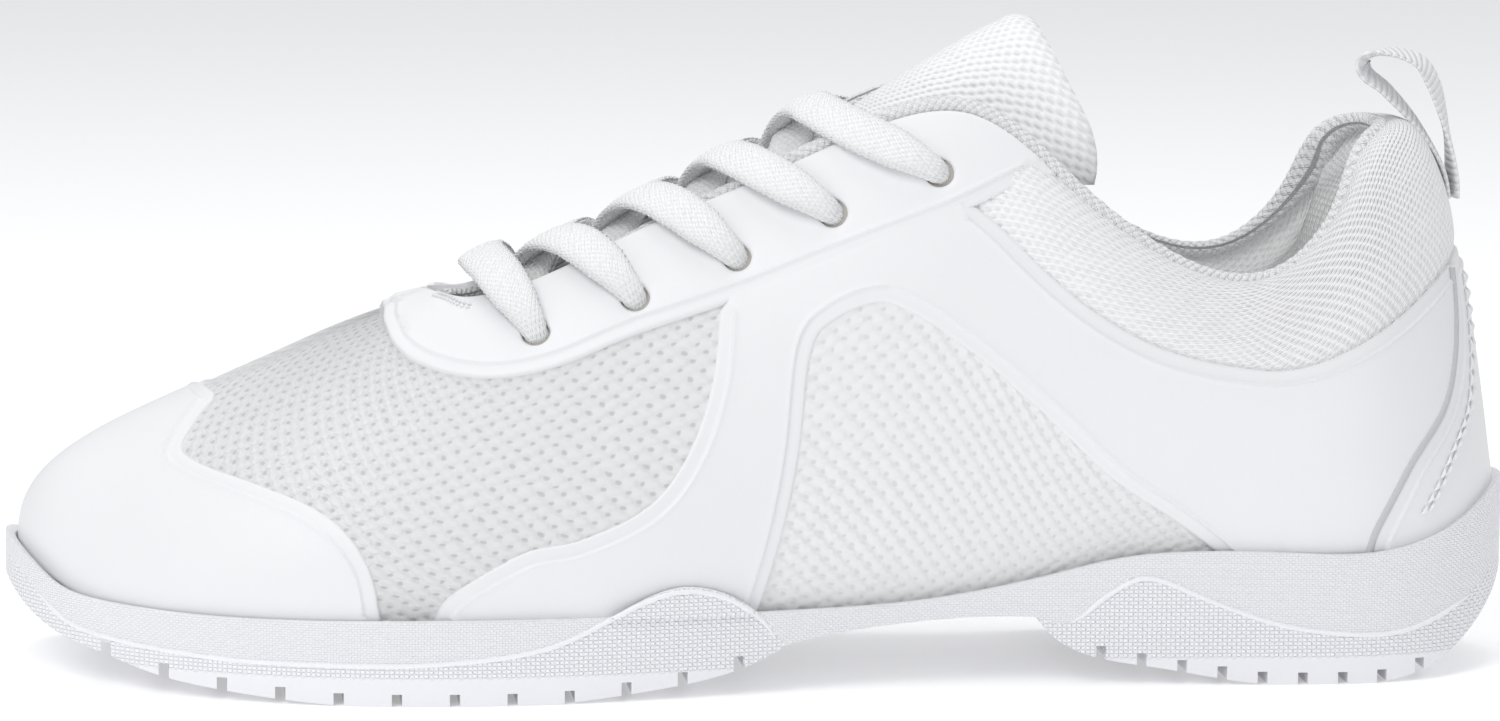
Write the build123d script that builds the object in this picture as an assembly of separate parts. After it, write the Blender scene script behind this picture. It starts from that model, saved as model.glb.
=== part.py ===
from build123d import *
import math
import os

import numpy as np

# A left cheer shoe, in millimetres.  The toe points to -X, the outer side of the foot to -Y,
# and the flat of the tread stands on z = 0.  The upper is one surface, addressed by a station,
# in percent of the way round the shoe (0 heel, 25 outer side, 50 toe tip, 75 inner side), and
# a rise, from 0 at the feather line, where the upper meets the sole, to 1 at the top edge.

# ---- driving dimensions -------------------------------------------------------------------
MESH = 0.9              # thickness of the knitted outer
OVERLAY = 0.9           # thickness of the smooth overlays
PLY_GAP = 0.2           # glue line between plies
STIFFENER = 0.5         # toe puff
TAPE = 0.5              # eyelet tape, inside the outer
COUNTER = 1.1           # heel counter
LINING = 0.6            # lining ply
VAMP_LINING_DEPTH = 2.0
QUARTER_LINING_DEPTH = 2.4
COLLAR_FOAM = 5.0       # thickest part of the padded collar
FOAM_EDGE = 0.5         # the foam's thickness at its skived edges
TOP_RISE = 0.985        # the plies stop here, below the binding
FOAM_TOP_RISE = 0.90    # the collar's foam stops further down
LINING_FOOT = 0.03      # the linings stop at the insole, and below the binding
LINING_TOP = 0.97
BINDING_RADIUS = 1.5
BINDING_DEPTH = 1.2     # the roll is centred this far behind the outer's face
EYELET_RADIUS = 2.9
WALL = 1.75             # rubber lip round the foot of the upper
WRAP = 2.4              # thickness of the outsole's turned-up side walls
WING_LIP = 0.9          # the forefoot wall's wing stands out this far above the feather line
WING_INSET = 0.5        # and its inner face is this far inside the sole's outline
FOREFOOT_SLAB = 5.2     # height of the outsole's flat, inside its walls
HEEL_SLAB = 6.0
GROOVE_WIDTH = 1.8
GROOVE_DEPTH = 2.2
STROBEL = 1.2
INSOLE = 3.6
INSOLE_COVER = 0.6
STROBEL_INSET = 6.9     # how far inside the sole's outline the board and the insole end
INSOLE_INSET = 7.2
LACE_RADIUS = 1.8
AGLET_RADIUS = 2.1
AGLET_LENGTH = 20.0
WEBBING = 1.2           # thickness of the pull loop's tape
WEBBING_WIDTH = 11.0
TONGUE_GAP = 0.03       # left open at the fold, as a share of one row of the tongue

# ---- the upper's surface -------------------------------------------------------------------
# One row per station from the heel to the toe: the foot of the section (x, outer y, inner y,
# z), its top (x, y, z), the lower handle (out, up, forward) and the upper handle (out, down,
# back).  The handles are those of a cubic Bezier section.
STATIONS = [
    (127.5, -17.0, 16.5, 30.5, 111.5, -10.5, 98.0, 2.0, 24.0, -1.5, 5.0, -1.0, 9.0),
    (117.5, -25.0, 25.3, 26.0, 106.0, -18.5, 94.0, 4.0, 24.0, -1.0, 9.0, 2.0, 5.0),
    (103.5, -28.8, 29.3, 23.6, 101.0, -23.5, 83.5, 5.0, 20.0, 0.0, 10.0, 1.0, 1.5),
    (86.0, -29.0, 29.0, 24.0, 89.5, -26.0, 73.0, 5.0, 18.0, 0.0, 8.0, 3.0, 0.0),
    (69.0, -28.6, 26.0, 23.8, 72.5, -26.5, 75.0, 5.0, 20.0, 0.0, 7.0, 5.0, 0.0),
    (52.5, -27.8, 24.0, 20.6, 53.0, -25.0, 88.6, 6.0, 24.0, -1.0, 7.0, 12.0, 0.0),
    (37.0, -27.8, 23.2, 17.5, 36.0, -21.5, 102.0, 7.0, 28.0, -1.0, 9.0, 20.0, 0.0),
    (20.0, -29.2, 24.5, 15.5, 17.5, -17.5, 99.2, 8.0, 27.0, -1.0, 12.0, 22.0, 0.0),
    (0.0, -33.2, 29.2, 14.8, -3.0, -14.5, 89.3, 7.5, 24.0, -1.0, 13.0, 20.0, 0.0),
    (-22.0, -38.4, 36.0, 14.8, -22.5, -13.0, 80.4, 6.0, 21.0, -1.0, 14.0, 15.0, 0.0),
    (-44.0, -42.0, 41.6, 15.2, -39.5, -12.2, 71.6, 4.5, 18.0, -1.0, 14.0, 10.0, -2.0),
    (-66.5, -42.2, 43.0, 15.2, -51.5, -9.8, 67.2, 3.5, 16.0, -1.0, 13.0, 7.0, -8.0),
    (-88.5, -37.5, 41.4, 15.0, -56.0, -6.6, 67.0, 2.5, 15.0, -1.0, 10.0, 6.0, -18.0),
    (-107.5, -28.6, 37.2, 15.0, -58.0, -3.8, 67.3, 1.5, 15.0, -1.0, 7.0, 8.0, -29.0),
    (-122.0, -15.0, 30.5, 17.0, -58.8, -1.6, 67.5, 1.0, 15.0, -1.0, 3.0, 11.0, -39.0),
]
HEEL_SECTION = [(133.8, 0, 33.0), (130.0, 0, 56.0), (125.0, 0, 99.5), (113.5, 0, 98.4)]
TOE_SECTION = [(-133.2, 8.5, 22.5), (-134.0, 7.5, 41.0), (-105.0, 2.5, 46.5), (-59.2, 0.6, 67.8)]

# ---- the sole, seen from above and from the side -------------------------------------------
PLAN = [
    (137.3, 0), (132, -16), (121, -27), (104, -32), (86, -32), (69, -31.6), (52, -30.8), (36, -30.8),
    (20, -32.2), (0, -36.2), (-22, -41.4), (-44, -45), (-67, -45.3), (-90, -40.4), (-110, -31),
    (-125.5, -16.5), (-134, -3), (-136.6, 9), (-133, 23.5), (-124, 33.5), (-110, 40), (-90, 44.4),
    (-67, 46), (-44, 44.6), (-22, 39), (0, 32.2), (20, 27.5), (36, 26.2), (52, 27), (69, 29),
    (86, 32), (104, 32.3), (121, 27.5), (132, 16),
]
FEATHER = [
    (-138, 24), (-133.5, 21.6), (-126.5, 16.6), (-118, 15.2), (-101, 14.7), (-62, 15.0), (-20, 14.8),
    (5, 14.7), (25, 15.5), (37, 17.2), (50, 20.0), (62, 22.9), (74, 24.0), (92, 23.8), (108, 23.6),
    (119, 25.8), (127, 29.4), (134, 33.0), (139, 34.0),
]
SEAT = [(-140, 19), (-130, 16.6), (-120, 13.8), (-108, 11.6), (-95, 10.4), (-20, 10.4), (0, 11.2),
        (20, 12.8), (40, 15.2), (55, 17.4), (70, 18.4), (85, 18.6), (140, 18.6)]
FOREFOOT_BOTTOM = [(-139, 20), (-136.2, 15.5), (-128.5, 9.0), (-119.6, 6.4), (-110.8, 3.9), (-100, 2.1),
                   (-88, 0.8), (-77, 0)]
FOREFOOT_FLAT_END = -40.0
FOREFOOT_REAR = [(-40, 0), (-31, 0.9), (-20, 2.2), (-10, 4.0), (-3, 6.4), (1.0, 8.6)]
HEEL_FRONT = [(47, 12.4), (51, 8.0), (58, 5.0), (66, 3.6), (76, 1.9), (86, 0.3), (90, 0)]
HEEL_FLAT_END = 108.0
HEEL_REAR = [(108, 0), (114, 0.9), (121, 3.4), (127, 7.6), (132, 12.2), (136.5, 18), (139, 23)]
HUMP = [(-139, 21.5), (-131, 15.4), (-125, 10.9), (-116, 9.2), (-106, 8.3), (-94, 7.6), (-71, 7.5), (-56, 8.2),
        (-44, 9.8), (-36, 12.4), (-26, 17.4), (-18.5, 19.9), (-11, 18.9), (-4.2, 15.0), (1.0, 8.6)]
HEEL_WRAP = [(47, 12.4), (54, 12.0), (59, 16.2), (65, 19.8), (70, 19.2), (79, 15.2), (90, 11.4),
             (100, 9.7), (110, 9.2), (118, 10.8), (128, 15.0), (139, 23)]
ARCH = [(1.0, 8.6), (9, 10.2), (19, 11.4), (32, 12.4), (47, 12.4)]
FOREFOOT_GROOVES = [-118.5 + 10.1 * i for i in range(12)]
HEEL_GROOVES = [58.5 + 7.3 * i for i in range(9)]

# ---- panel outlines, as (station, rise) -----------------------------------------------------
TOE_CAP_EDGE = [(38.0, 0.02), (38.4, 0.166), (39.6, 0.298), (41.9, 0.376), (45.2, 0.436), (46.0, 0.46),
                (46.5, 0.53), (47.3, 0.61), (50.0, 0.65)]
ARM_FRONT = [(36.9, 0.0), (36.4, 0.08), (34.7, 0.192), (33.2, 0.218), (31.4, 0.286), (30.3, 0.40),
             (29.6, 0.55), (29.3, 0.69)]
WINDOW = [(28.8, -0.02), (28.2, 0.124), (27.8, 0.234), (27.4, 0.36), (26.9, 0.558), (26.2, 0.606),
          (25.0, 0.608), (24.0, 0.564), (22.6, 0.488), (20.9, 0.412), (19.1, 0.332), (17.1, 0.204),
          (15.0, 0.082), (13.6, -0.02)]
COLLAR_EDGE = [(2.9, 0.50), (6.6, 0.488), (10.7, 0.518), (13.6, 0.572), (16.5, 0.60), (19.7, 0.682),
               (21.9, 0.762), (20.7, 0.838), (19.2, 0.965)]
EYESTAY_EDGE = [(19.2, 0.97), (20.7, 0.845), (22.2, 0.76), (24.0, 0.728), (27.4, 0.722), (31.6, 0.696),
                (33.9, 0.666), (36.0, 0.668), (38.7, 0.722), (40.4, 0.772), (42.4, 0.842), (46.0, 0.86),
                (50.0, 0.865)]
BACKSTAY_EDGE = [(8.7, 0.0), (8.3, 0.07), (6.9, 0.18), (4.8, 0.25), (3.8, 0.32), (3.2, 0.40), (2.8, 0.49)]
EYELETS = [(34.6, 0.776), (31.6, 0.788), (28.7, 0.812), (26.1, 0.828), (23.1, 0.84)]

# ---- the tongue: crown x and z, half width, droop, half angle of its arch in degrees -----------
TONGUE_PITCH = 26.0
TONGUE_ROWS = [
    (-66.0, 55.5, 15.0, 12.0, 66), (-50.0, 63.3, 17.0, 24.0, 66), (-32.0, 72.3, 18.5, 33.0, 66),
    (-12.0, 83.0, 18.5, 38.0, 66), (4.0, 92.5, 18.5, 38.0, 66), (15.0, 99.8, 19.0, 36.0, 66),
    (20.5, 103.6, 18.5, 35.0, 66), (28.0, 108.4, 17.0, 33.0, 66), (38.0, 114.3, 16.0, 31.0, 74),
    (48.0, 119.2, 15.5, 30.0, 84),
]
FOLD_ROW = 6            # the tip turns about the crown of this row
TONGUE_PLIES = {"cover": (0.0, 0.7), "foam": (0.75, 3.4), "lining": (3.45, 4.0)}

# ---- the pull loop's middle line, in the plane y = 0 -----------------------------------------
LOOP_LINE = [
    (125.6, 84.8), (124.8, 89.5), (122.9, 94.0), (119.6, 98.9), (114.8, 104.0), (111.0, 107.2),
    (110.2, 109.6), (112.4, 111.0), (116.5, 110.9), (120.6, 109.2), (123.2, 105.6), (125.0, 100.5),
    (126.4, 94.0), (127.1, 88.5), (127.2, 84.8),
]

# ---- the lace ----------------------------------------------------------------------------------
# Each pair of eyelets: over the hole, under it, under the stay's edge, and over the edge on the way
# in.  The points are for the inner side, and the outer side mirrors them in y.
LACE_ROWS = [
    ((-43.1, 24.7, 64.7), (-41.0, 18.2, 58.3), (-45.5, 9.0, 64.6), (-48.5, 12.5, 72.6)),
    ((-25.4, 25.1, 70.6), (-23.7, 17.6, 65.3), (-29.5, 9.6, 72.2), (-34.5, 13.5, 79.0)),
    ((-7.3, 24.8, 77.4), (-5.4, 16.4, 73.2), (-13.0, 9.9, 80.2), (-19.5, 14.3, 86.6)),
    ((9.5, 25.8, 85.2), (11.9, 17.2, 81.8), (2.5, 11.0, 87.8), (-5.0, 15.3, 93.2)),
    ((28.4, 27.9, 92.5), (30.2, 19.2, 89.7), None, (10.5, 17.2, 100.6)),
]
# Where the two strands cross between pairs: x, height of the lower strand, height of the upper one.
LACE_CROSSINGS = [(-41.1, 72.2, 77.6), (-25.5, 79.6, 85.0), (-10.0, 87.8, 93.4), (5.6, 97.4, 103.2)]
LACE_BAR = (-51.0, 4.0, 74.6)
# The spare length, tucked down inside the shoe and forward along the edge of the insole.
LACE_TAIL = [
    (30.6, 22.0, 80.0), (28.0, 24.2, 68.0), (22.0, 25.2, 54.5), (12.0, 24.2, 41.0), (-2.0, 22.2, 29.5),
    (-18.0, 22.0, 21.8), (-37.0, 23.5, 18.8), (-56.0, 24.5, 18.6), (-75.0, 24.0, 18.6),
]
INNER_TAIL_SCALE = 0.88     # the inner wall stands closer to the middle line
FIT = 0.03                  # how closely the curved faces follow their formula
FIT_DEGREE = 3
LACE_BEND = 0.45            # arc length taken from the shorter of two runs


# ---- curves and surfaces -----------------------------------------------------------------------
def smooth_ring(points, where):
    """Values at where (0 to 1) on the periodic cubic spline through equally spaced points."""
    count = len(points)
    identity = np.eye(count)
    matrix = 4 * identity + np.roll(identity, 1, 0) + np.roll(identity, -1, 0)
    second = 6 * (np.roll(points, -1, 0) - 2 * points + np.roll(points, 1, 0))
    bend = np.linalg.solve(matrix, second.reshape(count, -1)).reshape(points.shape)
    place = (where % 1) * count
    low = np.floor(place).astype(int) % count
    high = (low + 1) % count
    part = (place - np.floor(place)).reshape(place.shape + (1,) * (points.ndim - 1))
    rest = 1 - part
    curve = (rest**3 - rest) * bend[low] + (part**3 - part) * bend[high]
    return rest * points[low] + part * points[high] + curve / 6


def section_handles():
    """The four Bezier points of every station's section, all the way round the shoe."""
    sides = []
    for side in (-1, 1):
        sections = []
        for x, outer, inner, z, tx, ty, tz, out, up, ahead, top_out, down, back in STATIONS:
            y = outer if side < 0 else inner
            top = (tx, -side * ty, tz)
            low = (x + ahead, y + side * out, z + up)
            high = (tx + back, top[1] + side * top_out, tz - down)
            sections.append([(x, y, z), low, high, top])
        sides.append(sections)
    return np.array([HEEL_SECTION] + sides[0] + [TOE_SECTION] + sides[1][::-1], float)


SECTIONS = section_handles()
STEP = 1e-4


def seat_height(x):
    return np.interp(x, [p[0] for p in SEAT], [p[1] for p in SEAT])


def upper_surface(station, rise):
    """Points of the knitted outer's face.  Below rise 0 the skirt drops straight to the seat."""
    station, rise = np.broadcast_arrays(np.asarray(station, float), np.asarray(rise, float))
    handles = smooth_ring(SECTIONS, station / 100)
    t = np.maximum(rise, 0)
    weights = np.stack([(1 - t) ** 3, 3 * t * (1 - t) ** 2, 3 * t * t * (1 - t), t**3], -1)
    points = (weights[..., None] * handles).sum(-2)
    drop = points[..., 2] - seat_height(points[..., 0]) - 0.15
    points[..., 2] += np.minimum(rise, 0) * drop
    return points


def upper_normal(station, rise):
    rise = np.maximum(rise, 0.001)
    along = upper_surface(station + 100 * STEP, rise) - upper_surface(station - 100 * STEP, rise)
    up = upper_surface(station, rise + STEP) - upper_surface(station, rise - STEP)
    normal = np.cross(up, along)
    return normal / np.linalg.norm(normal, axis=-1, keepdims=True)


def face_through(grid):
    return Face.make_surface_from_array_of_points([[tuple(p) for p in row] for row in grid],
                                                 tol=FIT, min_deg=3, max_deg=FIT_DEGREE)


def solid_between(front, back):
    """A closed solid between two grids of points, with ruled faces round its edge."""
    front_face = face_through(front)
    back_face = face_through(back)
    back_edges = list(back_face.edges())
    sides = []
    for edge in front_face.edges():
        middle = edge @ 0.5
        partner = min(back_edges, key=lambda other: (other @ 0.5 - middle).length)
        sides.append(Face.make_surface_from_curves(edge, partner))
    shell = Shell(Face.sew_faces([front_face, back_face] + sides)[0])
    return Solid(shell)


def ply(station, rise, outside, inside):
    """A ply between two depths below the knit's face; station and rise are grids."""
    points = upper_surface(station, rise)
    normal = upper_normal(station, rise)
    outside = np.broadcast_to(outside, station.shape)[..., None]
    inside = np.broadcast_to(inside, station.shape)[..., None]
    return solid_between(points - outside * normal, points - inside * normal)


def band(first, last, low, high, outside, inside, across=8, spacing=1.6):
    """A ply between two stations; low and high are rises, or functions of the station."""
    along = max(6, int(abs(last - first) / spacing))
    stations = np.linspace(first, last, along)
    lows = low(stations) if callable(low) else np.full(along, low)
    highs = high(stations) if callable(high) else np.full(along, high)
    part = np.linspace(0, 1, across)
    rise = np.maximum(lows, 0)[:, None] * (1 - part) + highs[:, None] * part
    if np.max(lows) < 0:
        skirt = lows[:, None] * np.array([1, 0.6, 0.2])
        rise = np.concatenate([skirt, rise], 1)
    station = np.broadcast_to(stations[:, None], rise.shape)
    if callable(outside):
        outside = outside(station, rise)
    if callable(inside):
        inside = inside(station, rise)
    return ply(station, rise, outside, inside)


def edge_curve(outline):
    """The rise of a panel's edge as a function of the station, the same on both sides."""
    points = sorted(outline)
    xs = [p[0] for p in points]
    ys = [p[1] for p in points]
    return lambda station: np.interp(np.minimum(station, 100 - station), xs, ys)


def side_prism(outline, side, extra):
    """A prism across one side of the shoe whose side view is the outline mapped on the upper."""
    pairs = np.array(outline)
    station = pairs[:, 0] if side < 0 else 100 - pairs[:, 0]
    mapped = upper_surface(station, pairs[:, 1])
    curve = [(p[0], p[2]) for p in mapped]
    with BuildSketch(Plane.XZ) as sketch:
        with BuildLine():
            Spline(*curve)
            Polyline(curve[-1], *extra, curve[0])
        make_face()
    return extrude(sketch.sketch, amount=-side * 70)


# ---- the sole ---------------------------------------------------------------------------------
def plan_points(inset):
    """The sole's outline from above, drawn in by a distance."""
    ring = np.array(PLAN, float)
    where = np.arange(len(ring)) / len(ring)
    tangent = smooth_ring(ring, where + STEP) - smooth_ring(ring, where - STEP)
    tangent /= np.linalg.norm(tangent, axis=1, keepdims=True)
    inward = np.stack([tangent[:, 1], -tangent[:, 0]], 1)
    return [tuple(p) for p in ring + inset * inward]


def plan_solid(inset, low=-5.0, high=60.0):
    with BuildSketch(Plane.XY.offset(low)) as sketch:
        with BuildLine():
            Spline(*plan_points(inset), periodic=True)
        make_face()
    return extrude(sketch.sketch, amount=high - low)


def side_solid(*edges):
    """A prism right across the shoe between curves of (x, z) points that follow each other."""
    with BuildSketch(Plane.XZ.offset(-60)) as sketch:
        with BuildLine():
            for edge in edges:
                if len(edge) == 2:
                    Line(*edge)
                else:
                    Spline(*edge)
        make_face()
    return extrude(sketch.sketch, amount=120)


def under(curve, floor=-6.0):
    """Everything below a curve, right across the shoe."""
    left = (curve[0][0], floor)
    right = (curve[-1][0], floor)
    return side_solid(curve, [curve[-1], right], [right, left], [left, curve[0]])


def shifted(curve, rise):
    return [(x, z + rise) for x, z in curve]


def outsole_pieces():
    """The two treads, with their turned-up walls, and the solid that the midsole is cut from."""
    forefoot_low = [FOREFOOT_BOTTOM, [FOREFOOT_BOTTOM[-1], (FOREFOOT_FLAT_END, 0)], FOREFOOT_REAR]
    forefoot = side_solid(*forefoot_low, HUMP[::-1], [HUMP[0], FOREFOOT_BOTTOM[0]])
    heel = side_solid(HEEL_FRONT, [HEEL_FRONT[-1], (HEEL_FLAT_END, 0)], HEEL_REAR, HEEL_WRAP[::-1])
    core = plan_solid(WRAP)
    forefoot_core = core & side_solid(
        [(-140, FOREFOOT_SLAB + 16), (-128, FOREFOOT_SLAB + 8.5), (-112, FOREFOOT_SLAB + 3), (-92, FOREFOOT_SLAB),
         (-30, FOREFOOT_SLAB), (-12, FOREFOOT_SLAB + 3.5), (1.5, FOREFOOT_SLAB + 6)],
        [(1.5, FOREFOOT_SLAB + 6), (1.5, 50)], [(1.5, 50), (-140, 50)], [(-140, 50), (-140, FOREFOOT_SLAB + 16)])
    heel_core = core & side_solid(
        [(46, 14.5), (56, HEEL_SLAB + 4.5), (70, HEEL_SLAB + 1.5), (88, HEEL_SLAB), (108, HEEL_SLAB),
         (124, HEEL_SLAB + 4), (140, HEEL_SLAB + 14)],
        [(140, HEEL_SLAB + 14), (140, 50)], [(140, 50), (46, 50)], [(46, 50), (46, 14.5)])
    outline = plan_solid(0)
    above_feather = plan_solid(-WING_LIP) - under(FEATHER)
    upper_room = plan_solid(WING_INSET) - under(FEATHER)
    forefoot_tread = (outline & forefoot) - forefoot_core - upper_room
    wing = (above_feather & forefoot) - upper_room
    heel_tread = (outline & heel) - heel_core
    return forefoot_tread, wing, heel_tread, forefoot, heel, forefoot_core, heel_core


def grooved(tread, places):
    """Cuts the grooves that run across a tread, following its underside."""
    for x in places:
        low = tread_underside(x)
        tread -= Pos(x, 0, low) * Box(GROOVE_WIDTH, 110, 2 * GROOVE_DEPTH)
    return tread


def tread_underside(x):
    curve = FOREFOOT_BOTTOM + FOREFOOT_REAR if x < 20 else HEEL_FRONT + HEEL_REAR
    return float(np.interp(x, [p[0] for p in curve], [p[1] for p in curve]))


def midsole_piece(forefoot, heel, forefoot_core, heel_core):
    """The foam midsole: all that the treads leave of the sole, with the pocket for the upper."""
    bottom = [FOREFOOT_BOTTOM, [FOREFOOT_BOTTOM[-1], (FOREFOOT_FLAT_END, 0)], FOREFOOT_REAR, ARCH,
              HEEL_FRONT, [HEEL_FRONT[-1], (HEEL_FLAT_END, 0)], HEEL_REAR]
    top = FEATHER[::-1]
    whole = plan_solid(0) & side_solid(*bottom, [HEEL_REAR[-1], top[0]], top, [top[-1], FOREFOOT_BOTTOM[0]])
    whole -= forefoot - forefoot_core
    whole -= heel - heel_core
    left = (SEAT[0][0], 50)
    right = (SEAT[-1][0], 50)
    above_seat = side_solid(SEAT, [SEAT[-1], right], [right, left], [left, SEAT[0]])
    return whole - (plan_solid(WALL) & above_seat)


def slab_on_seat(inset, low, high):
    """A sheet that follows the seat between two heights above it."""
    bottom = shifted(SEAT, low)
    top = shifted(SEAT, high)[::-1]
    return plan_solid(inset) & side_solid(bottom, [bottom[-1], top[0]], top, [top[-1], bottom[0]])


# ---- the upper's pieces ------------------------------------------------------------------------
def eased(part):
    """0 to 1, with a soft start and end."""
    part = np.clip(part, 0, 1)
    return part * part * (3 - 2 * part)


def collar_foam_thickness(station, rise):
    """Full in the collar's roll, fading towards the stay and down to the counter."""
    near_heel = np.minimum(station % 100, 100 - station % 100)
    along = eased((21.5 - near_heel) / 8)
    up = eased((rise - 0.44) / 0.26)
    over = 1 - 0.6 * eased((rise - 0.76) / 0.16)
    return FOAM_EDGE + (COLLAR_FOAM - FOAM_EDGE) * along * up * over


def quarter_lining_depth(station, rise):
    return QUARTER_LINING_DEPTH - FOAM_EDGE + collar_foam_thickness(station, rise)


def rounded_eyelets(solid):
    """Cuts the five pairs of lace holes through a ply."""
    for station, rise in EYELETS:
        for place in (station, 100 - station):
            centre = upper_surface(place, rise)
            normal = upper_normal(place, rise)
            hole = Plane(tuple(centre), z_dir=tuple(normal)) * Cylinder(EYELET_RADIUS, 12)
            solid -= hole
    return solid


def saddle(side):
    """The smooth side panel, with its long window, below the collar and the stay."""
    heel_edge = np.array(BACKSTAY_EDGE[::-1])
    arm_edge = np.array(ARM_FRONT)
    rises = np.linspace(0.0, 0.71, 20)
    part = np.linspace(0, 1, 46)
    order = heel_edge[heel_edge[:, 1].argsort()]
    first = np.interp(rises, order[:, 1], order[:, 0]) + 0.25
    last = np.interp(rises, arm_edge[:, 1], arm_edge[:, 0])
    station = first[None, :] * (1 - part[:, None]) + last[None, :] * part[:, None]
    rise = np.broadcast_to(rises[None, :], station.shape)
    if side > 0:
        station = 100 - station
    panel = ply(station, rise, -PLY_GAP - OVERLAY, -PLY_GAP)
    window = side_prism(WINDOW, side, [(79, 0), (-4, 0)])
    collar = side_prism(COLLAR_EDGE[:7], side, [(36, 130), (140, 130), (140, 74)])
    return panel - window - collar


def stay_edge(station):
    return edge_curve(EYESTAY_EDGE)(station)


def toe_cap():
    edge = edge_curve(TOE_CAP_EDGE)
    return band(38.1, 61.9, 0.0, edge, -PLY_GAP - OVERLAY, -PLY_GAP, across=10, spacing=0.6)


def backstay():
    edge = np.array(sorted(BACKSTAY_EDGE, key=lambda p: p[1]))
    rises = np.linspace(0.0, 0.49, 14)
    half = np.interp(rises, edge[:, 1], edge[:, 0])
    part = np.linspace(-1, 1, 21)
    station = part[:, None] * half[None, :]
    rise = np.broadcast_to(rises[None, :], station.shape)
    return ply(station, rise, -2 * PLY_GAP - OVERLAY, -2 * PLY_GAP)


def topline_binding():
    """The knitted roll along the top edge, from one end of the stay round the heel to the other."""
    stations = np.linspace(-26.5, 26.5, 60)
    top = upper_surface(stations, 1.0)
    normal = upper_normal(stations, 0.999)
    along = np.gradient(top, axis=0)
    along /= np.linalg.norm(along, axis=1, keepdims=True)
    up = np.cross(along, normal)
    up *= np.sign((up * (top - upper_surface(stations, 0.97))).sum(1))[:, None]
    centre = top + BINDING_RADIUS * up - BINDING_DEPTH * normal
    grids = []
    for side in (1, -1):
        turn = np.radians(np.linspace(12, 168, 9))
        across = np.cos(turn)[None, :, None] * up[:, None, :]
        outward = side * np.sin(turn)[None, :, None] * normal[:, None, :]
        grids.append(centre[:, None, :] + BINDING_RADIUS * (across + outward))
    return solid_between(*grids)


def tongue_surface(row, part, depth):
    """Points of the tongue: row along its length, part from -1 to 1 round its arch."""
    rows = np.array(TONGUE_ROWS, float)
    places = np.arange(len(rows))
    x, z, half, droop, angle = [np.interp(row, places, rows[:, i]) for i in range(5)]
    turn = np.radians(angle) * part
    fall = (droop - depth) * np.cos(turn) - droop
    pitch = math.radians(TONGUE_PITCH)
    y = (half - depth) * np.sin(turn)
    return np.stack([x - fall * math.sin(pitch), y, z + fall * math.cos(pitch)], -1)


def tongue_ply(first, last, outside, inside):
    count = int((last - first) * 4) + 4
    row = np.linspace(first, last, count)[:, None]
    part = np.linspace(-1, 1, 15)[None, :]
    row, part = np.broadcast_arrays(row, part)
    return solid_between(tongue_surface(row, part, outside), tongue_surface(row, part, inside))


def pull_loop():
    line = np.array(LOOP_LINE, float)
    tangent = np.gradient(line, axis=0)
    tangent /= np.linalg.norm(tangent, axis=1, keepdims=True)
    normal = np.stack([tangent[:, 1], -tangent[:, 0]], 1)
    outer = [tuple(p) for p in line + WEBBING / 2 * normal]
    inner = [tuple(p) for p in line - WEBBING / 2 * normal]
    with BuildSketch(Plane.XZ.offset(-WEBBING_WIDTH / 2)) as sketch:
        with BuildLine():
            Spline(*outer)
            Line(outer[-1], inner[-1])
            Spline(*inner[::-1])
            Line(inner[0], outer[0])
        make_face()
    return extrude(sketch.sketch, amount=WEBBING_WIDTH)


# ---- the lace ------------------------------------------------------------------------------------
def mirrored(point, side):
    return (point[0], side * point[1], point[2])


def lace_half(side):
    """Half of the lace, from the bar at the front to its tip, starting towards one side."""
    points = [mirrored(LACE_BAR, side)]
    for index, (over, below, under_edge, landing) in enumerate(LACE_ROWS):
        points.append(mirrored(landing, side))
        points.append(mirrored(over, side))
        points.append(mirrored(below, side))
        if under_edge is None:
            break
        points.append(mirrored(under_edge, side))
        x, lower, upper = LACE_CROSSINGS[index]
        points.append((x, 0, upper if side > 0 else lower))
        side = -side
    scale = INNER_TAIL_SCALE if side > 0 else 1.0
    points += [(x, side * y * scale, z) for x, y, z in LACE_TAIL]
    return points


def lace_route():
    return lace_half(-1)[::-1] + lace_half(1)


def corner_radii(points):
    """Each arc takes a share of the shorter of its two runs."""
    radii = []
    for before, at, after in zip(points, points[1:], points[2:]):
        first = Vector(*at) - Vector(*before)
        second = Vector(*after) - Vector(*at)
        turn = math.radians(first.get_angle(second))
        radii.append(LACE_BEND * min(first.length, second.length) / math.tan(turn / 2))
    return radii


def lace():
    points = lace_route()
    radii = corner_radii(points)
    path = FilletPolyline(*points, radius=radii)
    start = Plane(path @ 0, z_dir=path % 0)
    tube = sweep(start * Circle(LACE_RADIUS), path=path)
    length = path.length
    expected = length * math.pi * LACE_RADIUS**2
    print("lace length", round(length, 1), "volume ratio", round(tube.volume / expected, 4))
    print("lace radii", [round(r, 1) for r in radii])
    return tube


def aglet(side):
    """The plastic tip on one end of the lace, in line with its last run."""
    half = lace_half(-side)
    last = Vector(*half[-1])
    direction = (last - Vector(*half[-2])).normalized()
    base = Plane(last, z_dir=direction)
    return base * Pos(0, 0, AGLET_LENGTH / 2) * Cylinder(AGLET_RADIUS, AGLET_LENGTH)


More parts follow.
